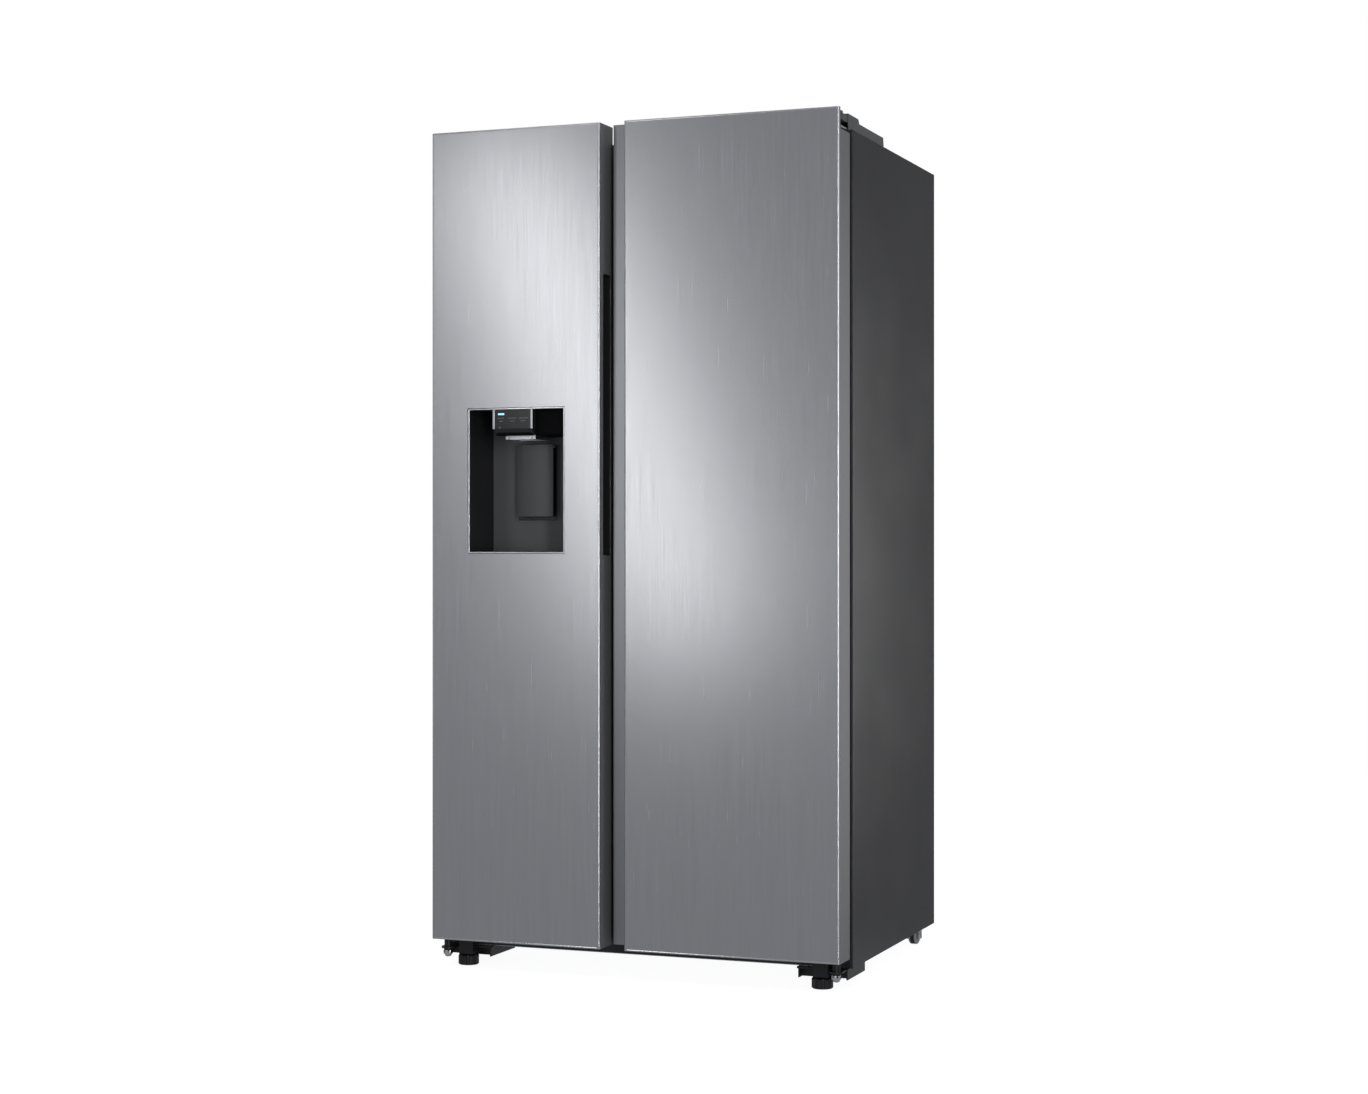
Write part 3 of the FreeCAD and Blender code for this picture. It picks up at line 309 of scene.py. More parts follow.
def copy_of(node):
    """A clean copy of a CAD node's mesh: points merged and flat faces joined."""
    bm = bmesh.new()
    bm.from_mesh(frame["nodes"][node].data)
    bmesh.ops.remove_doubles(bm, verts=bm.verts, dist=1e-6)
    bmesh.ops.dissolve_limit(bm, angle_limit=math.radians(0.5), verts=bm.verts, edges=bm.edges)
    return bm


def softened(node, width, segments=2, material=None, angle=35):
    """The CAD node's own shape with its sharp edges rounded."""
    bm = round_edges(copy_of(node), width, segments, angle)
    return piece(f"{node}_finished", bm, BODY_OF[node], SLOT_OF[node], material, (node,))


def box(low, high, width=0.0, segments=2):
    """A box between two corners, with rounded edges."""
    bm = bmesh.new()
    bmesh.ops.create_cube(bm, size=1)
    low, high = Vector(low), Vector(high)
    bmesh.ops.scale(bm, vec=high - low, verts=bm.verts)
    bmesh.ops.translate(bm, vec=(low + high) / 2, verts=bm.verts)
    if width:
        round_edges(bm, width, segments)
    return bm


def joined(*parts):
    """Several bmeshes as one."""
    whole = bmesh.new()
    for part in parts:
        mesh = bpy.data.meshes.new("part")
        part.to_mesh(mesh)
        part.free()
        whole.from_mesh(mesh)
        bpy.data.meshes.remove(mesh)
    return whole


TURN = {
    "x": Matrix.Rotation(math.radians(90), 4, "Y"),
    "-x": Matrix.Rotation(math.radians(-90), 4, "Y"),
    "y": Matrix.Rotation(math.radians(-90), 4, "X"),
    "-y": Matrix.Rotation(math.radians(90), 4, "X"),
    "z": Matrix.Identity(4),
}


def turned(profile, start, axis="z", steps=32):
    """A round piece: (radius, height) points spun about an axis through start."""
    bm = bmesh.new()
    points = [bm.verts.new((radius, 0, height)) for radius, height in profile]
    edges = [bm.edges.new(pair) for pair in zip(points, points[1:])]
    bmesh.ops.spin(
        bm, geom=points + edges, axis=(0, 0, 1), cent=(0, 0, 0), angle=math.tau, steps=steps, use_merge=True
    )
    bmesh.ops.remove_doubles(bm, verts=bm.verts, dist=1e-6)
    bmesh.ops.recalc_face_normals(bm, faces=bm.faces)
    bmesh.ops.transform(bm, matrix=Matrix.Translation(start) @ TURN[axis], verts=bm.verts)
    return bm


def tube(points, radius):
    """A round tube guided by points, as a bmesh."""
    curve = bpy.data.curves.new("pipe", "CURVE")
    curve.dimensions = "3D"
    spline = curve.splines.new("NURBS")
    spline.points.add(len(points) - 1)
    for target, point in zip(spline.points, points):
        target.co = (*point, 1)
    spline.order_u = 3
    spline.use_endpoint_u = True
    curve.bevel_depth = radius
    curve.bevel_resolution = 3
    curve.use_fill_caps = True
    holder = bpy.data.objects.new("pipe", curve)
    mesh = bpy.data.meshes.new_from_object(holder)
    bm = bmesh.new()
    bm.from_mesh(mesh)
    bmesh.ops.remove_doubles(bm, verts=bm.verts, dist=1e-6)
    bpy.data.objects.remove(holder)
    bpy.data.curves.remove(curve)
    bpy.data.meshes.remove(mesh)
    return bm


def spun_loop(outline, start, axis, steps):
    """A round piece from a closed outline of (radius, height) points."""
    return turned([*outline, outline[0]], start, axis, steps)


def screw(place, axis, radius=4.2 * MM):
    """A pan head screw standing on a surface, with a cross on it."""
    outline = [(0, 0.55), (0.55, 0.52), (0.86, 0.36), (1, 0), (0, 0)]
    head = turned([(out * radius, up * radius) for out, up in outline], (0, 0, 0), "z", 20)
    cross = [
        box((-a * radius, -b * radius, 0.5 * radius), (a * radius, b * radius, 0.6 * radius))
        for a, b in ((0.5, 0.09), (0.09, 0.5))
    ]
    bm = joined(head, *cross)
    bmesh.ops.transform(bm, matrix=Matrix.Translation(place) @ TURN[axis], verts=bm.verts)
    return bm


def screws(name, places, axis, radius=4.2 * MM):
    """A set of zinc plated screws in the cabinet."""
    return piece(name, joined(*[screw(place, axis, radius) for place in places]), "cabinet", "galvanised")


def levels(node):
    """The heights of the tops of a node's flat solids."""
    tops = sorted({round(v.co.z, 4) for v in frame["nodes"][node].data.vertices})
    return tops[1::2]


# ---------------------------------------------------------------- every node gets its finish

for node, made in frame["nodes"].items():
    material = FINISHES[SLOT_OF[node]]
    for place in made.material_slots:
        place.material = material

# The rounding in millimetres of each node's sharp edges.
ROUNDED_NODES = {
    "side_panel_left": 0.4, "side_panel_right": 0.4, "top_panel": 0.4, "base_rail": 0.4, "machine_cover": 0.5,
    "freezer_door_frame": 1.2, "freezer_door_liner": 1.4, "fridge_door_liner": 1.4,
    "freezer_door_gasket": 2.0, "fridge_door_gasket": 2.0,
    "freezer_handle_pocket": 0.6, "fridge_handle_pocket": 0.6,
    "hinge_cover_left": 1.0, "hinge_cover_right": 1.0, "front_foot_left": 0.8, "front_foot_right": 0.8,
    "freezer_door_bin_1": 1.2, "freezer_door_bin_2": 1.2,
    "fridge_door_bin_1": 1.2, "fridge_door_bin_2": 1.2, "fridge_door_bin_3": 1.2,
    "freezer_drawer_lower": 1.2, "freezer_drawer_upper": 1.2, "crisper_lower": 1.2, "crisper_upper": 1.2,
    "ice_bucket": 1.2, "ice_maker": 1.5, "dispenser_chute": 0.6,
    "freezer_duct_panel": 0.8, "fridge_duct_panel": 1.0, "freezer_shelves": 1.2, "fridge_shelves": 1.2,
    "freezer_liner": 1.0, "fridge_liner": 1.0, "lower_hinges": 0.5, "upper_hinges": 0.6, "water_valve": 1.2,
    "power_inlet": 0.8, "rear_roller_left": 0.8, "rear_roller_right": 0.8, "ceiling_lamps": 1.5,
}
for node in ("freezer_door_skin", "fridge_door_skin"):
    skin = softened(node, 0.4 * MM)
    skin.data.materials.append(DOOR_SIDE)
    for face in skin.data.polygons:
        face.material_index = int(abs(face.normal.x) > 0.95)
for node, width in ROUNDED_NODES.items():
    softened(node, width * MM)
softened("dispenser_paddle", 1.5 * MM, 3, PADDLE_GREY, 20)


def door_hems():
    """The folded strips along the top and bottom of each door's front."""
    turn = 5 * MM
    for name in ("freezer", "fridge"):
        low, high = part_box(f"{name}_door_skin")
        strips = [
            box(
                (low.x + turn, low.y - 0.25 * MM, z),
                (high.x - turn, low.y + 5.2 * MM, z + 5 * MM), 2.4 * MM, 4,
            )
            for z in (low.z - 0.2 * MM, high.z - 4.8 * MM)
        ]
        # The hems take a lighter, glossier steel than the skin they are folded from: real rounded edges, with a
        # painted highlight line along them.
        piece(f"{name}_door_hems", joined(*strips), f"{name}_door", "steel_skin", FINISHES["bright_steel"])


door_hems()

lip_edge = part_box("fridge_door_skin")[0].x
door_frame = softened("fridge_door_frame", 1.2 * MM)
door_frame.data.materials.append(LIP_GREY)
for face in door_frame.data.polygons:
    face.material_index = int(face.center.x < lip_edge and face.normal.y < -0.5)


# ---------------------------------------------------------------- dispenser


def dispenser():
    """The recess with its rim, rear panel, chute shroud and collar, paddle backing and drip grille."""
    body = "freezer_door"
    low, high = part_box("dispenser_housing")
    wall = 3 * MM
    left, right = low.x + wall, high.x - wall
    bottom, top = low.z + wall, high.z - wall
    back = high.y - wall
    front = low.y

    well = box((left, front, bottom), (right, back, top))
    mouth = [f for f in well.faces if f.normal.y < -0.9]
    bmesh.ops.delete(well, geom=mouth, context="FACES_ONLY")
    round_edges(well, 7 * MM, 4, pick=lambda e: all(v.co.y > back - 1e-5 for v in e.verts))
    bmesh.ops.reverse_faces(well, faces=well.faces)
    bmesh.ops.solidify(well, geom=well.faces[:], thickness=-2.4 * MM)
    piece("dispenser_well", well, body, "dark_plastic", replaces=("dispenser_housing",))

    # The rear panel's lighter grey is painted light making up for the shade inside the recess.
    rear = box(
        (left + 3 * MM, back - 3.6 * MM, bottom + 3 * MM),
        (right - 3 * MM, back - 1 * MM, top - 3 * MM), 0.5 * MM
    )
    piece("dispenser_rear_panel", rear, body, "dark_plastic", REAR_PAINTED_LIGHT_GREY)

    rim = 4 * MM
    face_y = front - 0.2 * MM
    ring = bmesh.new()
    loops = []
    for inset in (0, rim):
        corners = (
            (left + inset, bottom + inset), (right - inset, bottom + inset),
            (right - inset, top - inset), (left + inset, top - inset),
        )
        loops.append([ring.verts.new((x, face_y, z)) for x, z in corners])
    for i in range(4):
        j = (i + 1) % 4
        ring.faces.new((loops[0][i], loops[0][j], loops[1][j], loops[1][i]))
    bmesh.ops.recalc_face_normals(ring, faces=ring.faces)
    walls = bmesh.ops.extrude_face_region(ring, geom=ring.faces[:])
    moved = [v for v in walls["geom"] if isinstance(v, bmesh.types.BMVert)]
    bmesh.ops.translate(ring, vec=(0, 3.5 * MM, 0), verts=moved)
    bmesh.ops.recalc_face_normals(ring, faces=ring.faces)
    round_edges(ring, 1.5 * MM, 4)
    piece("dispenser_bezel", ring, body, "bright_steel")

    chute_low, chute_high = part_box("dispenser_chute")
    panel_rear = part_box("control_panel")[1].y
    shroud = box(
        (chute_low.x - 16 * MM, panel_rear - 1 * MM, chute_low.z + 8 * MM),
        (right - 6 * MM, back, top),
        5 * MM, 3,
    )
    # The shroud is coloured near-black as painted shade, standing in for the shadow in the top of the recess.
    piece("chute_shroud", shroud, body, "panel_grey", PAINTED_SHADE_BLACK)
    collar = box(
        (chute_low.x - 1 * MM, chute_low.y - 1 * MM, chute_low.z),
        (chute_high.x + 1 * MM, chute_low.y + 70 * MM, chute_low.z + 6 * MM),
    )
    ends = [f for f in collar.faces if abs(f.normal.z) > 0.9]
    bmesh.ops.delete(collar, geom=ends, context="FACES_ONLY")
    round_edges(collar, 12 * MM, 5)
    bmesh.ops.solidify(collar, geom=collar.faces[:], thickness=2 * MM)
    piece("chute_collar", collar, body, "silver_plastic")

    paddle_low, paddle_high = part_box("dispenser_paddle")
    plate = box(
        (paddle_low.x - 2 * MM, back - 5 * MM, paddle_low.z - 8 * MM),
        (paddle_high.x - 6 * MM, back - 2 * MM, paddle_high.z + 2 * MM),
        1 * MM,
    )
    piece("paddle_backing", plate, body, "panel_grey")
    mount = box(
        (paddle_low.x + 24 * MM, paddle_high.y - 1 * MM, paddle_high.z - 60 * MM),
        (paddle_high.x - 24 * MM, paddle_high.y + 6 * MM, paddle_high.z - 20 * MM),
        1.5 * MM,
    )
    piece("paddle_boss", mount, "dispenser_paddle", "dark_plastic", PADDLE_GREY)

    tray_z = bottom + 5 * MM
    margin = 6 * MM
    near = (front + 8 * MM, front + 12 * MM)
    far = (back - 14 * MM, back - 10 * MM)
    bars = [
        box((left + margin, start, bottom + 0.2 * MM), (right - margin, end, tray_z), 0.8 * MM)
        for start, end in (near, far)
    ]
    count = 26
    pitch = (right - left - 16 * MM) / count
    half = 1.5 * MM
    for i in range(count + 1):
        x = left + 8 * MM + i * pitch
        bars.append(box(
            (x - half, front + 9 * MM, bottom + 0.4 * MM),
            (x + half, back - 11 * MM, tray_z - 0.6 * MM),
            0.6 * MM, 1,
        ))
    piece("drip_grille", joined(*bars), body, "dark_plastic")


def control_panel():
    """The touch panel over the recess, with its side trims, pilot light and printed marks."""
    body = "freezer_door"
    low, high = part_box("control_panel")
    slant_top = low.z + 9.5 * MM
    # The chin under the panel is near-black as painted shade, standing in for the shadow beneath the panel.
    chin = box(
        (low.x + 5 * MM, low.y + 5 * MM, low.z - 3 * MM),
        (high.x - 5 * MM, high.y, low.z + 1 * MM), 3 * MM, 3,
    )
    piece("control_panel_chin", chin, body, "panel_grey", PAINTED_SHADE_BLACK)
    bm = round_edges(copy_of("control_panel"), 2.5 * MM, 3)
    piece("control_panel_face", bm, body, "panel_grey", replaces=("control_panel",))
    trims = [
        box(
            (x, low.y - 0.6 * MM, slant_top + 1 * MM),
            (x + 5 * MM, low.y + 8 * MM, high.z - 2 * MM),
            1.2 * MM, 3,
        )
        for x in (low.x - 1 * MM, high.x - 4 * MM)
    ]
    piece("panel_trims", joined(*trims), body, "silver_plastic")
    surface = low.y - 0.25 * MM
    led = box(
        (low.x + 12 * MM, surface, high.z - 15 * MM),
        (low.x + 26 * MM, low.y + 1 * MM, high.z - 11.5 * MM), 0.2 * MM, 1,
    )
    piece("pilot_light", led, body, "lamp_lens", LIT_BLUE)
    marks = []
    for column, length in ((0, 15), (1, 19), (2, 22)):
        x = low.x + (11 + 24 * column) * MM
        for row in range(2):
            z = high.z - (23 + 6 * row) * MM
            size = length * (1 - 0.45 * row)
            marks.append(box(
                (x + (length - size) * 0.5 * MM, surface, z),
                (x + (length + size) * 0.5 * MM, low.y + 1 * MM, z + 2.2 * MM),
                0.1 * MM, 1,
            ))
    dot = [(0, 0.3 * MM), (2.2 * MM, 0.3 * MM), (2.2 * MM, -1 * MM), (0, -1 * MM)]
    marks.append(turned(dot, (low.x + 16 * MM, low.y, slant_top + 4 * MM), "-y", 20))
    piece("panel_marks", joined(*marks), body, "silver_plastic", PRINT_GREY)


dispenser()
control_panel()


# ---------------------------------------------------------------- shelves, drawers and bins


def shelf_fittings(name):
    """Front trims, back stops and side ledges of one compartment's glass shelves."""
    low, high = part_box(f"{name}_shelves")
    glass = 4 * MM
    trims, stops, ledges = [], [], []
    for number, top in enumerate(levels(f"{name}_shelves")):
        trims.append(box(
            (low.x + 1 * MM, low.y - 8 * MM, top - 12 * MM),
            (high.x - 1 * MM, low.y + 6 * MM, top + 0.2 * MM),
            3 * MM, 3,
        ))
        if number:
            stops.append(box(
                (low.x + 1 * MM, high.y - 7 * MM, top - 5 * MM),
                (high.x - 1 * MM, high.y - 0.5 * MM, top + 7 * MM),
                1.5 * MM,
            ))
        for x in (low.x, high.x - 8 * MM):
            ledges.append(box(
                (x, low.y + 12 * MM, top - glass - 7 * MM),
                (x + 8 * MM, high.y - 9 * MM, top - glass), 1.5 * MM,
            ))
    piece(f"{name}_shelf_trims", joined(*trims), "cabinet", "liner_white")
    piece(f"{name}_shelf_stops", joined(*stops), "cabinet", "silver_plastic")
    piece(f"{name}_shelf_ledges", joined(*ledges), "cabinet", "liner_white")


def drawer_band(node):
    """The strip across a drawer's front, under its grip."""
    low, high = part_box(node)
    front = low.y + 8 * MM
    band = box(
        (low.x + 6 * MM, front - 1.6 * MM, high.z - 36 * MM),
        (high.x - 6 * MM, front + 1 * MM, high.z - 20 * MM),
        1 * MM, 3,
    )
    piece(f"{node}_band", band, node, "silver_plastic")


def bin_band(node):
    """The rail along a door bin's front, facing the compartment."""
    low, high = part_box(node)
    band = box(
        (low.x + 4 * MM, high.y - 1 * MM, high.z - 24 * MM),
        (high.x - 4 * MM, high.y + 1.6 * MM, high.z - 8 * MM),
        1 * MM, 3,
    )
    piece(f"{node}_band", band, BODY_OF[node], "silver_plastic")


def lamp_rims():
    """A rim with cross ribs under each ceiling lamp's lens."""
    low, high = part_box("ceiling_lamps")
    width = 110 * MM
    rim = 3 * MM
    over = 1 * MM
    bottom, top = low.z - 1.5 * MM, low.z + 1 * MM
    ribs = 10
    bars = []
    for left in (low.x, high.x - width):
        right = left + width
        for y in (low.y - over, high.y - 2 * MM):
            bars.append(box((left - over, y, bottom), (right + over, y + rim, top), 0.7 * MM))
        for i in range(ribs + 1):
            x = left - over + (width - over) * i / ribs
            thick = rim if i in (0, ribs) else 1.2 * MM
            bars.append(box((x, low.y, bottom), (x + thick, high.y, top), 0.4 * MM, 1))
    piece("lamp_rims", joined(*bars), "cabinet", "liner_white")


def air_duct_fittings():
    """Slats in the air slots of both duct panels, and the grille over the evaporator's fan."""
    slats = []
    slat = 1.2 * MM
    freezer_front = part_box("freezer_duct_panel")[0].y
    fan_low, fan_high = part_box("evaporator_fan")
    fan_x, fan_z = (fan_low.x + fan_high.x) / 2, (fan_low.z + fan_high.z) / 2
    half = 31.9 * MM
    for side in (-90 * MM, 90 * MM):
        x = fan_x + side
        for bottom in (0.700, 0.940, 1.180):
            for i in range(3):
                z = bottom + (2.5 + 4.5 * i) * MM
                slats.append(box(
                    (x - half, freezer_front - 0.5 * MM, z), (x + half, freezer_front + 3.5 * MM, z + slat),
                    0.4 * MM, 1,
                ))
    low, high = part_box("fridge_duct_panel")
    inset = 25.1 * MM
    for bottom in (0.700, 0.930, 1.190, 1.450):
        for i in range(3):
            z = bottom + (1.8 + 4 * i) * MM
            slats.append(box(
                (low.x + inset, low.y - 0.5 * MM, z), (high.x - inset, low.y + 3.5 * MM, z + slat),
                0.4 * MM, 1,
            ))
    piece("duct_slats", joined(*slats), "cabinet", "liner_white")

    centre = Vector((fan_x, freezer_front + 1.6 * MM, fan_z))
    wire = 1.1 * MM
    rings = [
        spun_loop(
            [(r - wire, -1 * MM), (r - wire, 1 * MM), (r + wire, 1 * MM), (r + wire, -1 * MM)],
            centre, "y", 48,
        )
        for r in (14 * MM, 25 * MM, 36 * MM, 47 * MM, 58 * MM)
    ]
    spokes = []
    for i in range(6):
        spoke = box((12 * MM, -0.9 * MM, -1.2 * MM), (66.5 * MM, 0.9 * MM, 1.2 * MM), 0.4 * MM, 1)
        bmesh.ops.rotate(spoke, matrix=Matrix.Rotation(math.tau * i / 6, 3, "Y"), verts=spoke.verts)
        bmesh.ops.translate(spoke, vec=centre, verts=spoke.verts)
        spokes.append(spoke)
    piece("fan_grille", joined(*rings, *spokes), "cabinet", "liner_white")


def ice_maker_fittings():
    """The mould's dividers, the ejector with its fingers and the wire arm that feels the ice level."""
    low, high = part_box("ice_maker")
    middle_y = low.y + 48 * MM
    cells = 8
    start = low.x + 12 * MM
    span = high.x - low.x - 24 * MM
    dividers = []
    for i in range(1, cells):
        x = start + span * i / cells
        dividers.append(box(
            (x - 1.2 * MM, low.y + 12 * MM, high.z - 45 * MM),
            (x + 1.2 * MM, low.y + 84 * MM, high.z - 10 * MM),
            0.5 * MM, 1,
        ))
    piece("ice_mould_dividers", joined(*dividers), "freezer_door", "coil_metal")

    length = high.x - low.x - 2 * MM
    shaft = turned(
        [(0, 0), (4 * MM, 0), (4 * MM, length), (0, length)],
        (low.x + 1 * MM, middle_y, high.z - 2 * MM), "x", 20,
    )
    fingers = []
    for i in range(cells):
        x = start + span * (i + 0.5) / cells
        fingers.append(box(
            (x - 2 * MM, middle_y, high.z - 3.5 * MM),
            (x + 2 * MM, middle_y + 30 * MM, high.z - 0.5 * MM),
            0.8 * MM,
        ))
    piece("ice_ejector", joined(shaft, *fingers), "freezer_door", "dark_plastic")

    side = high.x + 7 * MM
    pivot_z = low.z + 55 * MM
    under = low.z - 20 * MM
    arm = tube([
        (high.x - 2 * MM, middle_y, pivot_z), (side, middle_y, pivot_z), (side, middle_y + 8 * MM, low.z),
        (side, middle_y + 34 * MM, under), (high.x - 30 * MM, middle_y + 36 * MM, under),
        (low.x + 10 * MM, middle_y + 36 * MM, under),
    ], 1.6 * MM)
    piece("ice_level_arm", arm, "freezer_door", "bright_steel")


for name in ("freezer", "fridge"):
    shelf_fittings(name)
for node in ("freezer_drawer_lower", "freezer_drawer_upper", "crisper_lower", "crisper_upper"):
    drawer_band(node)
for node in BODY_OF:
    if "_door_bin_" in node:
        bin_band(node)
lamp_rims()
air_duct_fittings()
ice_maker_fittings()


# ---------------------------------------------------------------- outside hardware


def cabinet_screws():
    """Screws in the hinge covers, the machine room's cover and the back panel."""
    for side in ("left", "right"):
        low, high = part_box(f"hinge_cover_{side}")
        rear_top = high.z - 9 * MM
        middle = (low.x + high.x) / 2
        places = [(middle, high.y - back * MM, rear_top) for back in (55, 130)]
        screws(f"hinge_cover_screws_{side}", places, "z", 4.5 * MM)
    low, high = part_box("machine_cover")
    columns = [low.x + 25 * MM, -150 * MM, 150 * MM, high.x - 25 * MM]
    rows = [low.z + 20 * MM, high.z - 15 * MM]
    screws("machine_cover_screws", [(x, high.y, z) for x in columns for z in rows], "y", 5 * MM)
    low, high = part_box("back_panel")
    across = [low.x + 14 * MM + (high.x - low.x - 28 * MM) * i / 5 for i in range(6)]
    up = [low.z + 20 * MM + (high.z - low.z - 36 * MM) * i / 6 for i in range(7)]
    places = [(x, high.y, z) for x in across for z in (up[0], up[-1])]
    places += [(x, high.y, z) for x in (across[0], across[-1]) for z in up[1:-1]]
    screws("back_panel_screws", places, "y")


def back_panel_beads():
    """Raised stiffening beads pressed into the back sheet."""
    low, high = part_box("back_panel")
    beads = []
    count = 5
    for i in range(count):
        x = low.x + (high.x - low.x) * (i + 0.5) / count
        beads.append(box(
            (x - 9 * MM, high.y - 0.8 * MM, low.z + 120 * MM),
            (x + 9 * MM, high.y + 2.2 * MM, high.z - 110 * MM), 2.1 * MM, 4,
        ))
    piece("back_panel_beads", joined(*beads), "cabinet", "galvanised")


def hinge_nuts():
    """Bright cap nuts under the lower hinge pins."""
    nuts = []
    pin_x, pin_y = 433 * MM, -315 * MM
    across, tall = 10.2 * MM, 8.6 * MM
    outline = [
        (0, 0), (4 * MM, 0.5 * MM), (6.6 * MM, 2.2 * MM), (7.6 * MM, 5 * MM), (7.6 * MM, 7 * MM), (0, 7 * MM)
    ]
    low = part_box("lower_hinges")[0]
    for x in (-pin_x, pin_x):
        nut = bmesh.new()
        bmesh.ops.create_cone(nut, cap_ends=True, segments=6, radius1=across, radius2=across, depth=tall)
        bmesh.ops.translate(nut, vec=(x, pin_y, low.z + 9.5 * MM), verts=nut.verts)
        round_edges(nut, 0.8 * MM)
        nuts += [nut, turned(outline, (x, pin_y, low.z - 0.8 * MM), "z", 28)]
    piece("hinge_cap_nuts", joined(*nuts), "cabinet", "bright_steel")


def roller_treads():
    """Soft tyres on the rear rollers."""
    for side in ("left", "right"):
        node = f"rear_roller_{side}"
        low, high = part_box(node)
        radius = (high.z - low.z) / 2
        half = 5.5 * MM
        inner, outer = radius - 1 * MM, radius + 0.1 * MM
        shoulder = half - 1 * MM
        tyre = spun_loop(
            [(inner, -half), (outer, -shoulder), (outer, shoulder), (inner, half)], (low + high) / 2, "x", 48
        )
        piece(f"{node}_tyre", tyre, node, "foot_black")


cabinet_screws()
back_panel_beads()
hinge_nuts()
roller_treads()


# ---------------------------------------------------------------- cooling machinery


def return_bends(name, node, reach, tubes, radius):
    """The bends that join a finned coil's straight tubes, first at one end and then at the other."""
    low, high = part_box(node)
    y = (low.y + high.y) / 2
    heights = [low.z + (high.z - low.z) * (i + 0.5) / tubes for i in range(tubes)]
    bends = []
    for i, (first, second) in enumerate(zip(heights, heights[1:])):
        end, out = (high.x, reach) if i % 2 else (low.x, -reach)
        bends.append(tube([
            (end, y, first), (end + out, y, first), (end + out, y, first + 12 * MM),
            (end + out, y, second - 12 * MM), (end + out, y, second), (end, y, second),
        ], radius))
    piece(name, joined(*bends), "cabinet", "coil_metal", COPPER)


def compressor_fittings():
    """The welded seam, the relay box and the refrigerant pipes to and from the compressor."""
    low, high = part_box("compressor")
    x, y = (low.x + high.x) / 2, 240 * MM
    seam = spun_loop(
        [(79 * MM, -4 * MM), (82.5 * MM, -3 * MM), (82.5 * MM, 3 * MM), (79 * MM, 4 * MM)],
        (x, y, low.z + 120 * MM), "z", 64,
    )
    piece("compressor_seam", seam, "cabinet", "black_steel")
    relay = box(
        (x + 76 * MM, y - 26 * MM, low.z + 62 * MM),
        (x + 104 * MM, y + 26 * MM, low.z + 108 * MM),
        4 * MM, 3,
    )
    piece("compressor_relay", relay, "cabinet", "foot_black")

    stub = (x - 35 * MM, y, high.z - 3 * MM)
    coil_low, coil_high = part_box("condenser")
    quarter = (coil_high.z - coil_low.z) / 8
    over = 276 * MM
    front = 147 * MM
    discharge = tube([
        stub, (stub[0], y, over - 4 * MM), (stub[0] - 20 * MM, y - 45 * MM, over), (120 * MM, front, over),
        (0, front, over), (-36 * MM, front + 4 * MM, over - 16 * MM),
        (-38 * MM, y - 45 * MM, coil_high.z - quarter),
        (coil_high.x, y, coil_high.z - quarter),
    ], 3.2 * MM)
    suction = tube([
        (x + 60 * MM, y + 30 * MM, low.z + 70 * MM), (x + 112 * MM, y + 46 * MM, low.z + 78 * MM),
        (x + 118 * MM, y, low.z + 150 * MM),
        (x + 112 * MM, front, 260 * MM), (x + 112 * MM, front, 298 * MM),
    ], 4 * MM)
    drier_start = coil_low.x - 24 * MM
    drier_z = coil_low.z + quarter
    drier = turned(
        [(0, 0), (3.5 * MM, 0), (9 * MM, 8 * MM), (9 * MM, 62 * MM), (3 * MM, 72 * MM), (0, 72 * MM)],
        (drier_start, y, drier_z), "-x", 28,
    )
    feed = tube(
        [(coil_low.x, y, drier_z), (coil_low.x - 12 * MM, y, drier_z), (drier_start - 2 * MM, y, drier_z)],
        3.2 * MM,
    )
    capillary = tube([
        (drier_start - 70 * MM, y, drier_z), (drier_start - 90 * MM, y, drier_z + 4 * MM),
        (drier_start - 96 * MM, y - 30 * MM, drier_z + 70 * MM), (drier_start - 92 * MM, front, 240 * MM),
        (drier_start - 92 * MM, front, 298 * MM),
    ], 1.6 * MM)
    piece(
        "refrigerant_pipes", joined(discharge, suction, drier, feed, capillary),
        "cabinet", "coil_metal", COPPER,
    )


def inlet_fittings():
    """The hose barbs on the water inlet and the ribs on the mains inlet."""
    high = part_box("water_valve")[1]
    start = Vector((-400 * MM, high.y - 14 * MM, 110 * MM))
    barb = [(6.8 * MM, 0), (7.5 * MM, 0.4 * MM), (6.8 * MM, 2.4 * MM)]
    barbs = [
        spun_loop(barb, start + Vector((0, (1.5 + 3.8 * i) * MM, 0)), "y", 32)
        for i in range(3)
    ]
    piece("water_inlet_barbs", joined(*barbs), "cabinet", "roller_plastic")
    low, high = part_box("power_inlet")
    centre = (low.x + high.x) / 2
    middle = (low.z + high.z) / 2
    rib = [(8.8 * MM, 0), (10.4 * MM, 0.6 * MM), (10.4 * MM, 1.6 * MM), (8.8 * MM, 2.2 * MM)]
    ribs = [
        spun_loop(rib, (centre, high.y - (7 - 3.4 * i) * MM, middle), "y", 32)
        for i in range(2)
    ]
    piece("power_inlet_ribs", joined(*ribs), "cabinet", "foot_black")


return_bends("evaporator_bends", "evaporator", 8 * MM, 4, 4.4 * MM)
return_bends("condenser_bends", "condenser", 11 * MM, 4, 4.4 * MM)
compressor_fittings()
inlet_fittings()


# ---------------------------------------------------------------- lights, floor and camera


def soft_light(name, place, aim, width, height, radiance, roll=0.0, shape="RECTANGLE"):
    """A soft box of an even brightness that faces a point."""
    light = bpy.data.lights.new(name, "AREA")
    light.shape = shape
    light.size, light.size_y = width, height
    area = width * height * (math.pi / 4 if shape == "ELLIPSE" else 1)
    light.energy = radiance * area * math.pi
    holder = bpy.data.objects.new(name, light)
    direction = Vector(aim) - Vector(place)
    turn = direction.to_track_quat("-Z", "Y").to_matrix().to_4x4()
    holder.matrix_world = Matrix.Translation(place) @ turn @ Matrix.Rotation(roll, 4, "Z")
    holder.visible_camera = False
    bpy.context.scene.collection.objects.link(holder)
    return holder


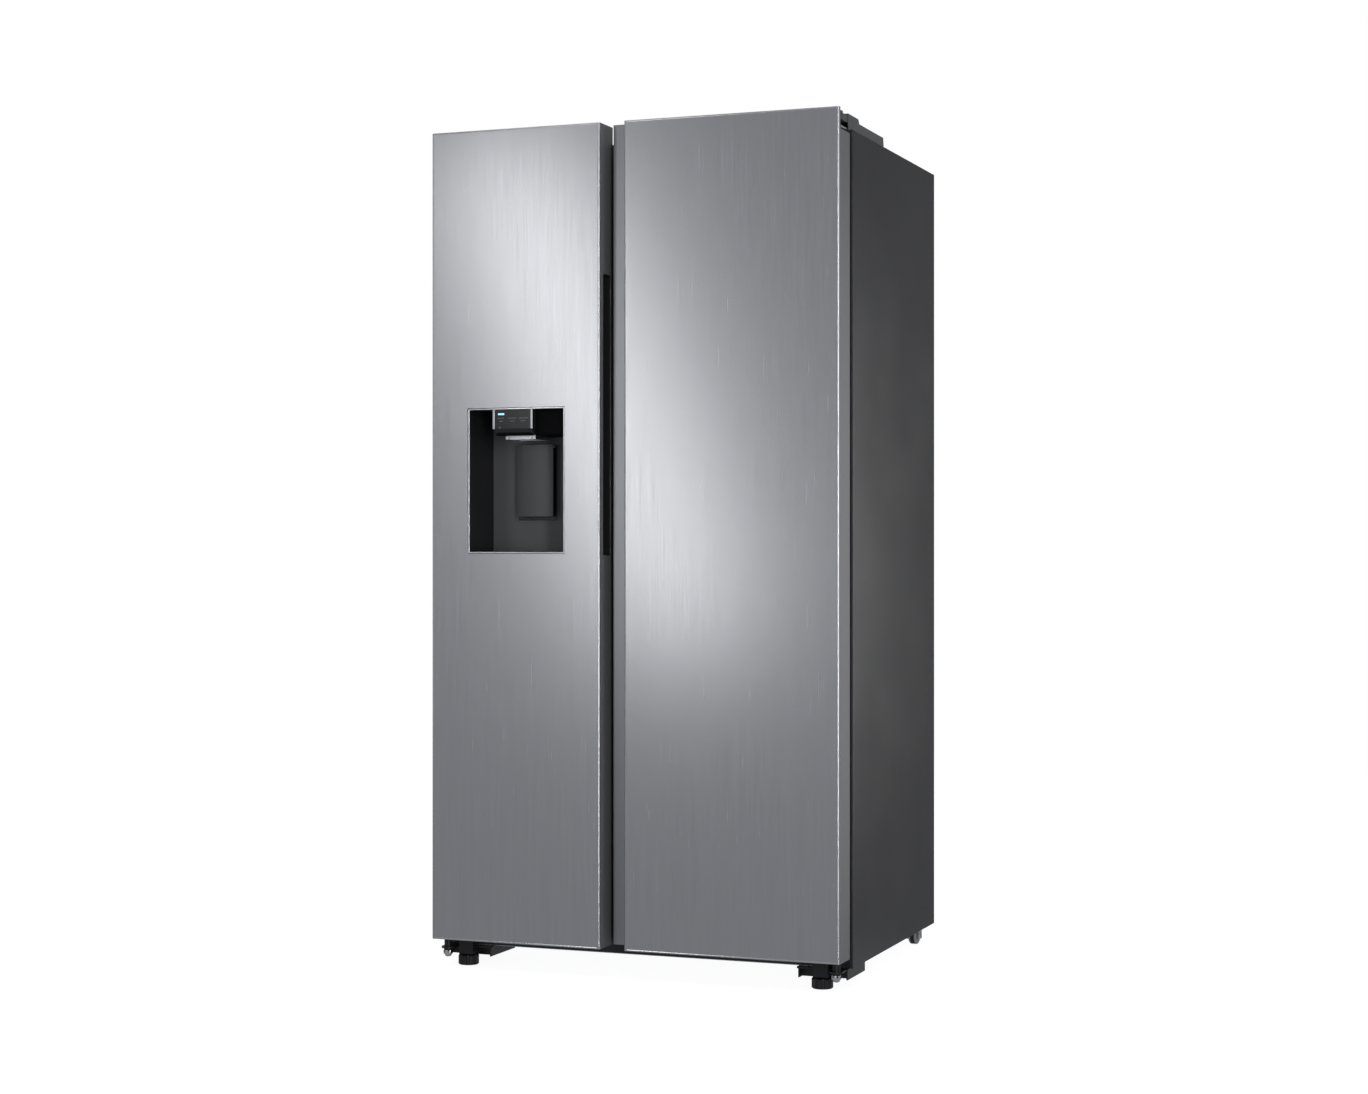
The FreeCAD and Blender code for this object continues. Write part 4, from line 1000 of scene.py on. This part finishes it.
def staged(name, bm, finish_name, colour, roughness, glow):
    """A glowing matt backdrop that isn't part of the object."""
    mesh = bpy.data.meshes.new(name)
    bm.to_mesh(mesh)
    bm.free()
    made = bpy.data.objects.new(name, mesh)
    bpy.context.scene.collection.objects.link(made)
    finish = Finish(
        finish_name, Base_Color=colour, Roughness=roughness, Specular_IOR_Level=0.0,
        Emission_Color=(1, 1, 1), Emission_Strength=glow,
    )
    mesh.materials.append(finish.material)
    return made


def studio():
    """A white page with soft boxes round the machine, and the camera."""
    scene = bpy.context.scene
    scene.view_settings.view_transform = "Standard"
    world = bpy.data.worlds.new("studio")
    scene.world = world
    world.use_nodes = True
    tree = world.node_tree
    room = tree.nodes["Background"]
    room.inputs["Color"].default_value = (0.93, 0.95, 1.0, 1)
    room.inputs["Strength"].default_value = 0.27
    page = tree.nodes.new("ShaderNodeBackground")
    page.inputs["Color"].default_value = (1, 1, 1, 1)
    page.inputs["Strength"].default_value = 1.0
    seen = tree.nodes.new("ShaderNodeLightPath")
    mix = tree.nodes.new("ShaderNodeMixShader")
    tree.links.new(seen.outputs["Is Camera Ray"], mix.inputs[0])
    tree.links.new(room.outputs[0], mix.inputs[1])
    tree.links.new(page.outputs[0], mix.inputs[2])
    tree.links.new(mix.outputs[0], tree.nodes["World Output"].inputs["Surface"])

    sheet = bmesh.new()
    bmesh.ops.create_grid(sheet, x_segments=1, y_segments=1, size=20)
    bmesh.ops.translate(sheet, vec=(0, 0, -0.0005), verts=sheet.verts)
    floor = staged("floor", sheet, "paper_floor", (0.25, 0.25, 0.25), 0.9, 0.94)
    floor.visible_glossy = False
    floor.visible_diffuse = False

    card = staged("dim_card", box((1.0, 6.0, -1.0), (4.6, 6.02, 4.0)), "card_grey", (0, 0, 0), 1.0, 0.15)
    card.visible_camera = False

    door = (0.0, -0.355, 1.05)
    soft_light("key_band", (-1.34, -3.36, 1.40), door, 0.32, 1.85, 2.6, math.radians(22))
    soft_light("right_rear_glow", (2.70, 4.0, 0.84), (0.4, 0.0, 0.84), 1.4, 3.0, 2.0, shape="ELLIPSE")
    soft_light("right_fill", (4.0, -0.6, 1.4), (0.4, -0.2, 1.0), 2.4, 2.4, 0.28)
    soft_light("edge_rim", (2.95, -4.4, 1.0), (0.45, -0.35, 0.95), 0.55, 3.2, 11.0)
    soft_light("left_fill", (-4.0, -0.6, 1.4), (-0.4, -0.2, 1.0), 2.4, 2.4, 0.55)
    soft_light("rear_fill", (-1.0, 4.2, 1.8), (0.0, 0.3, 0.9), 2.4, 2.4, 0.6)
    soft_light("top_fill", (0.0, -0.4, 4.2), (0.0, 0.0, 1.7), 3.0, 3.0, 0.9)

    camera = bpy.data.cameras.new("camera")
    camera.sensor_width = 36
    camera.lens = 63.33
    holder = bpy.data.objects.new("camera", camera)
    holder.location = (1.869, -4.935, 0.891)
    holder.rotation_euler = (math.radians(90), 0, math.radians(20.89))
    scene.collection.objects.link(holder)
    scene.camera = holder


studio()
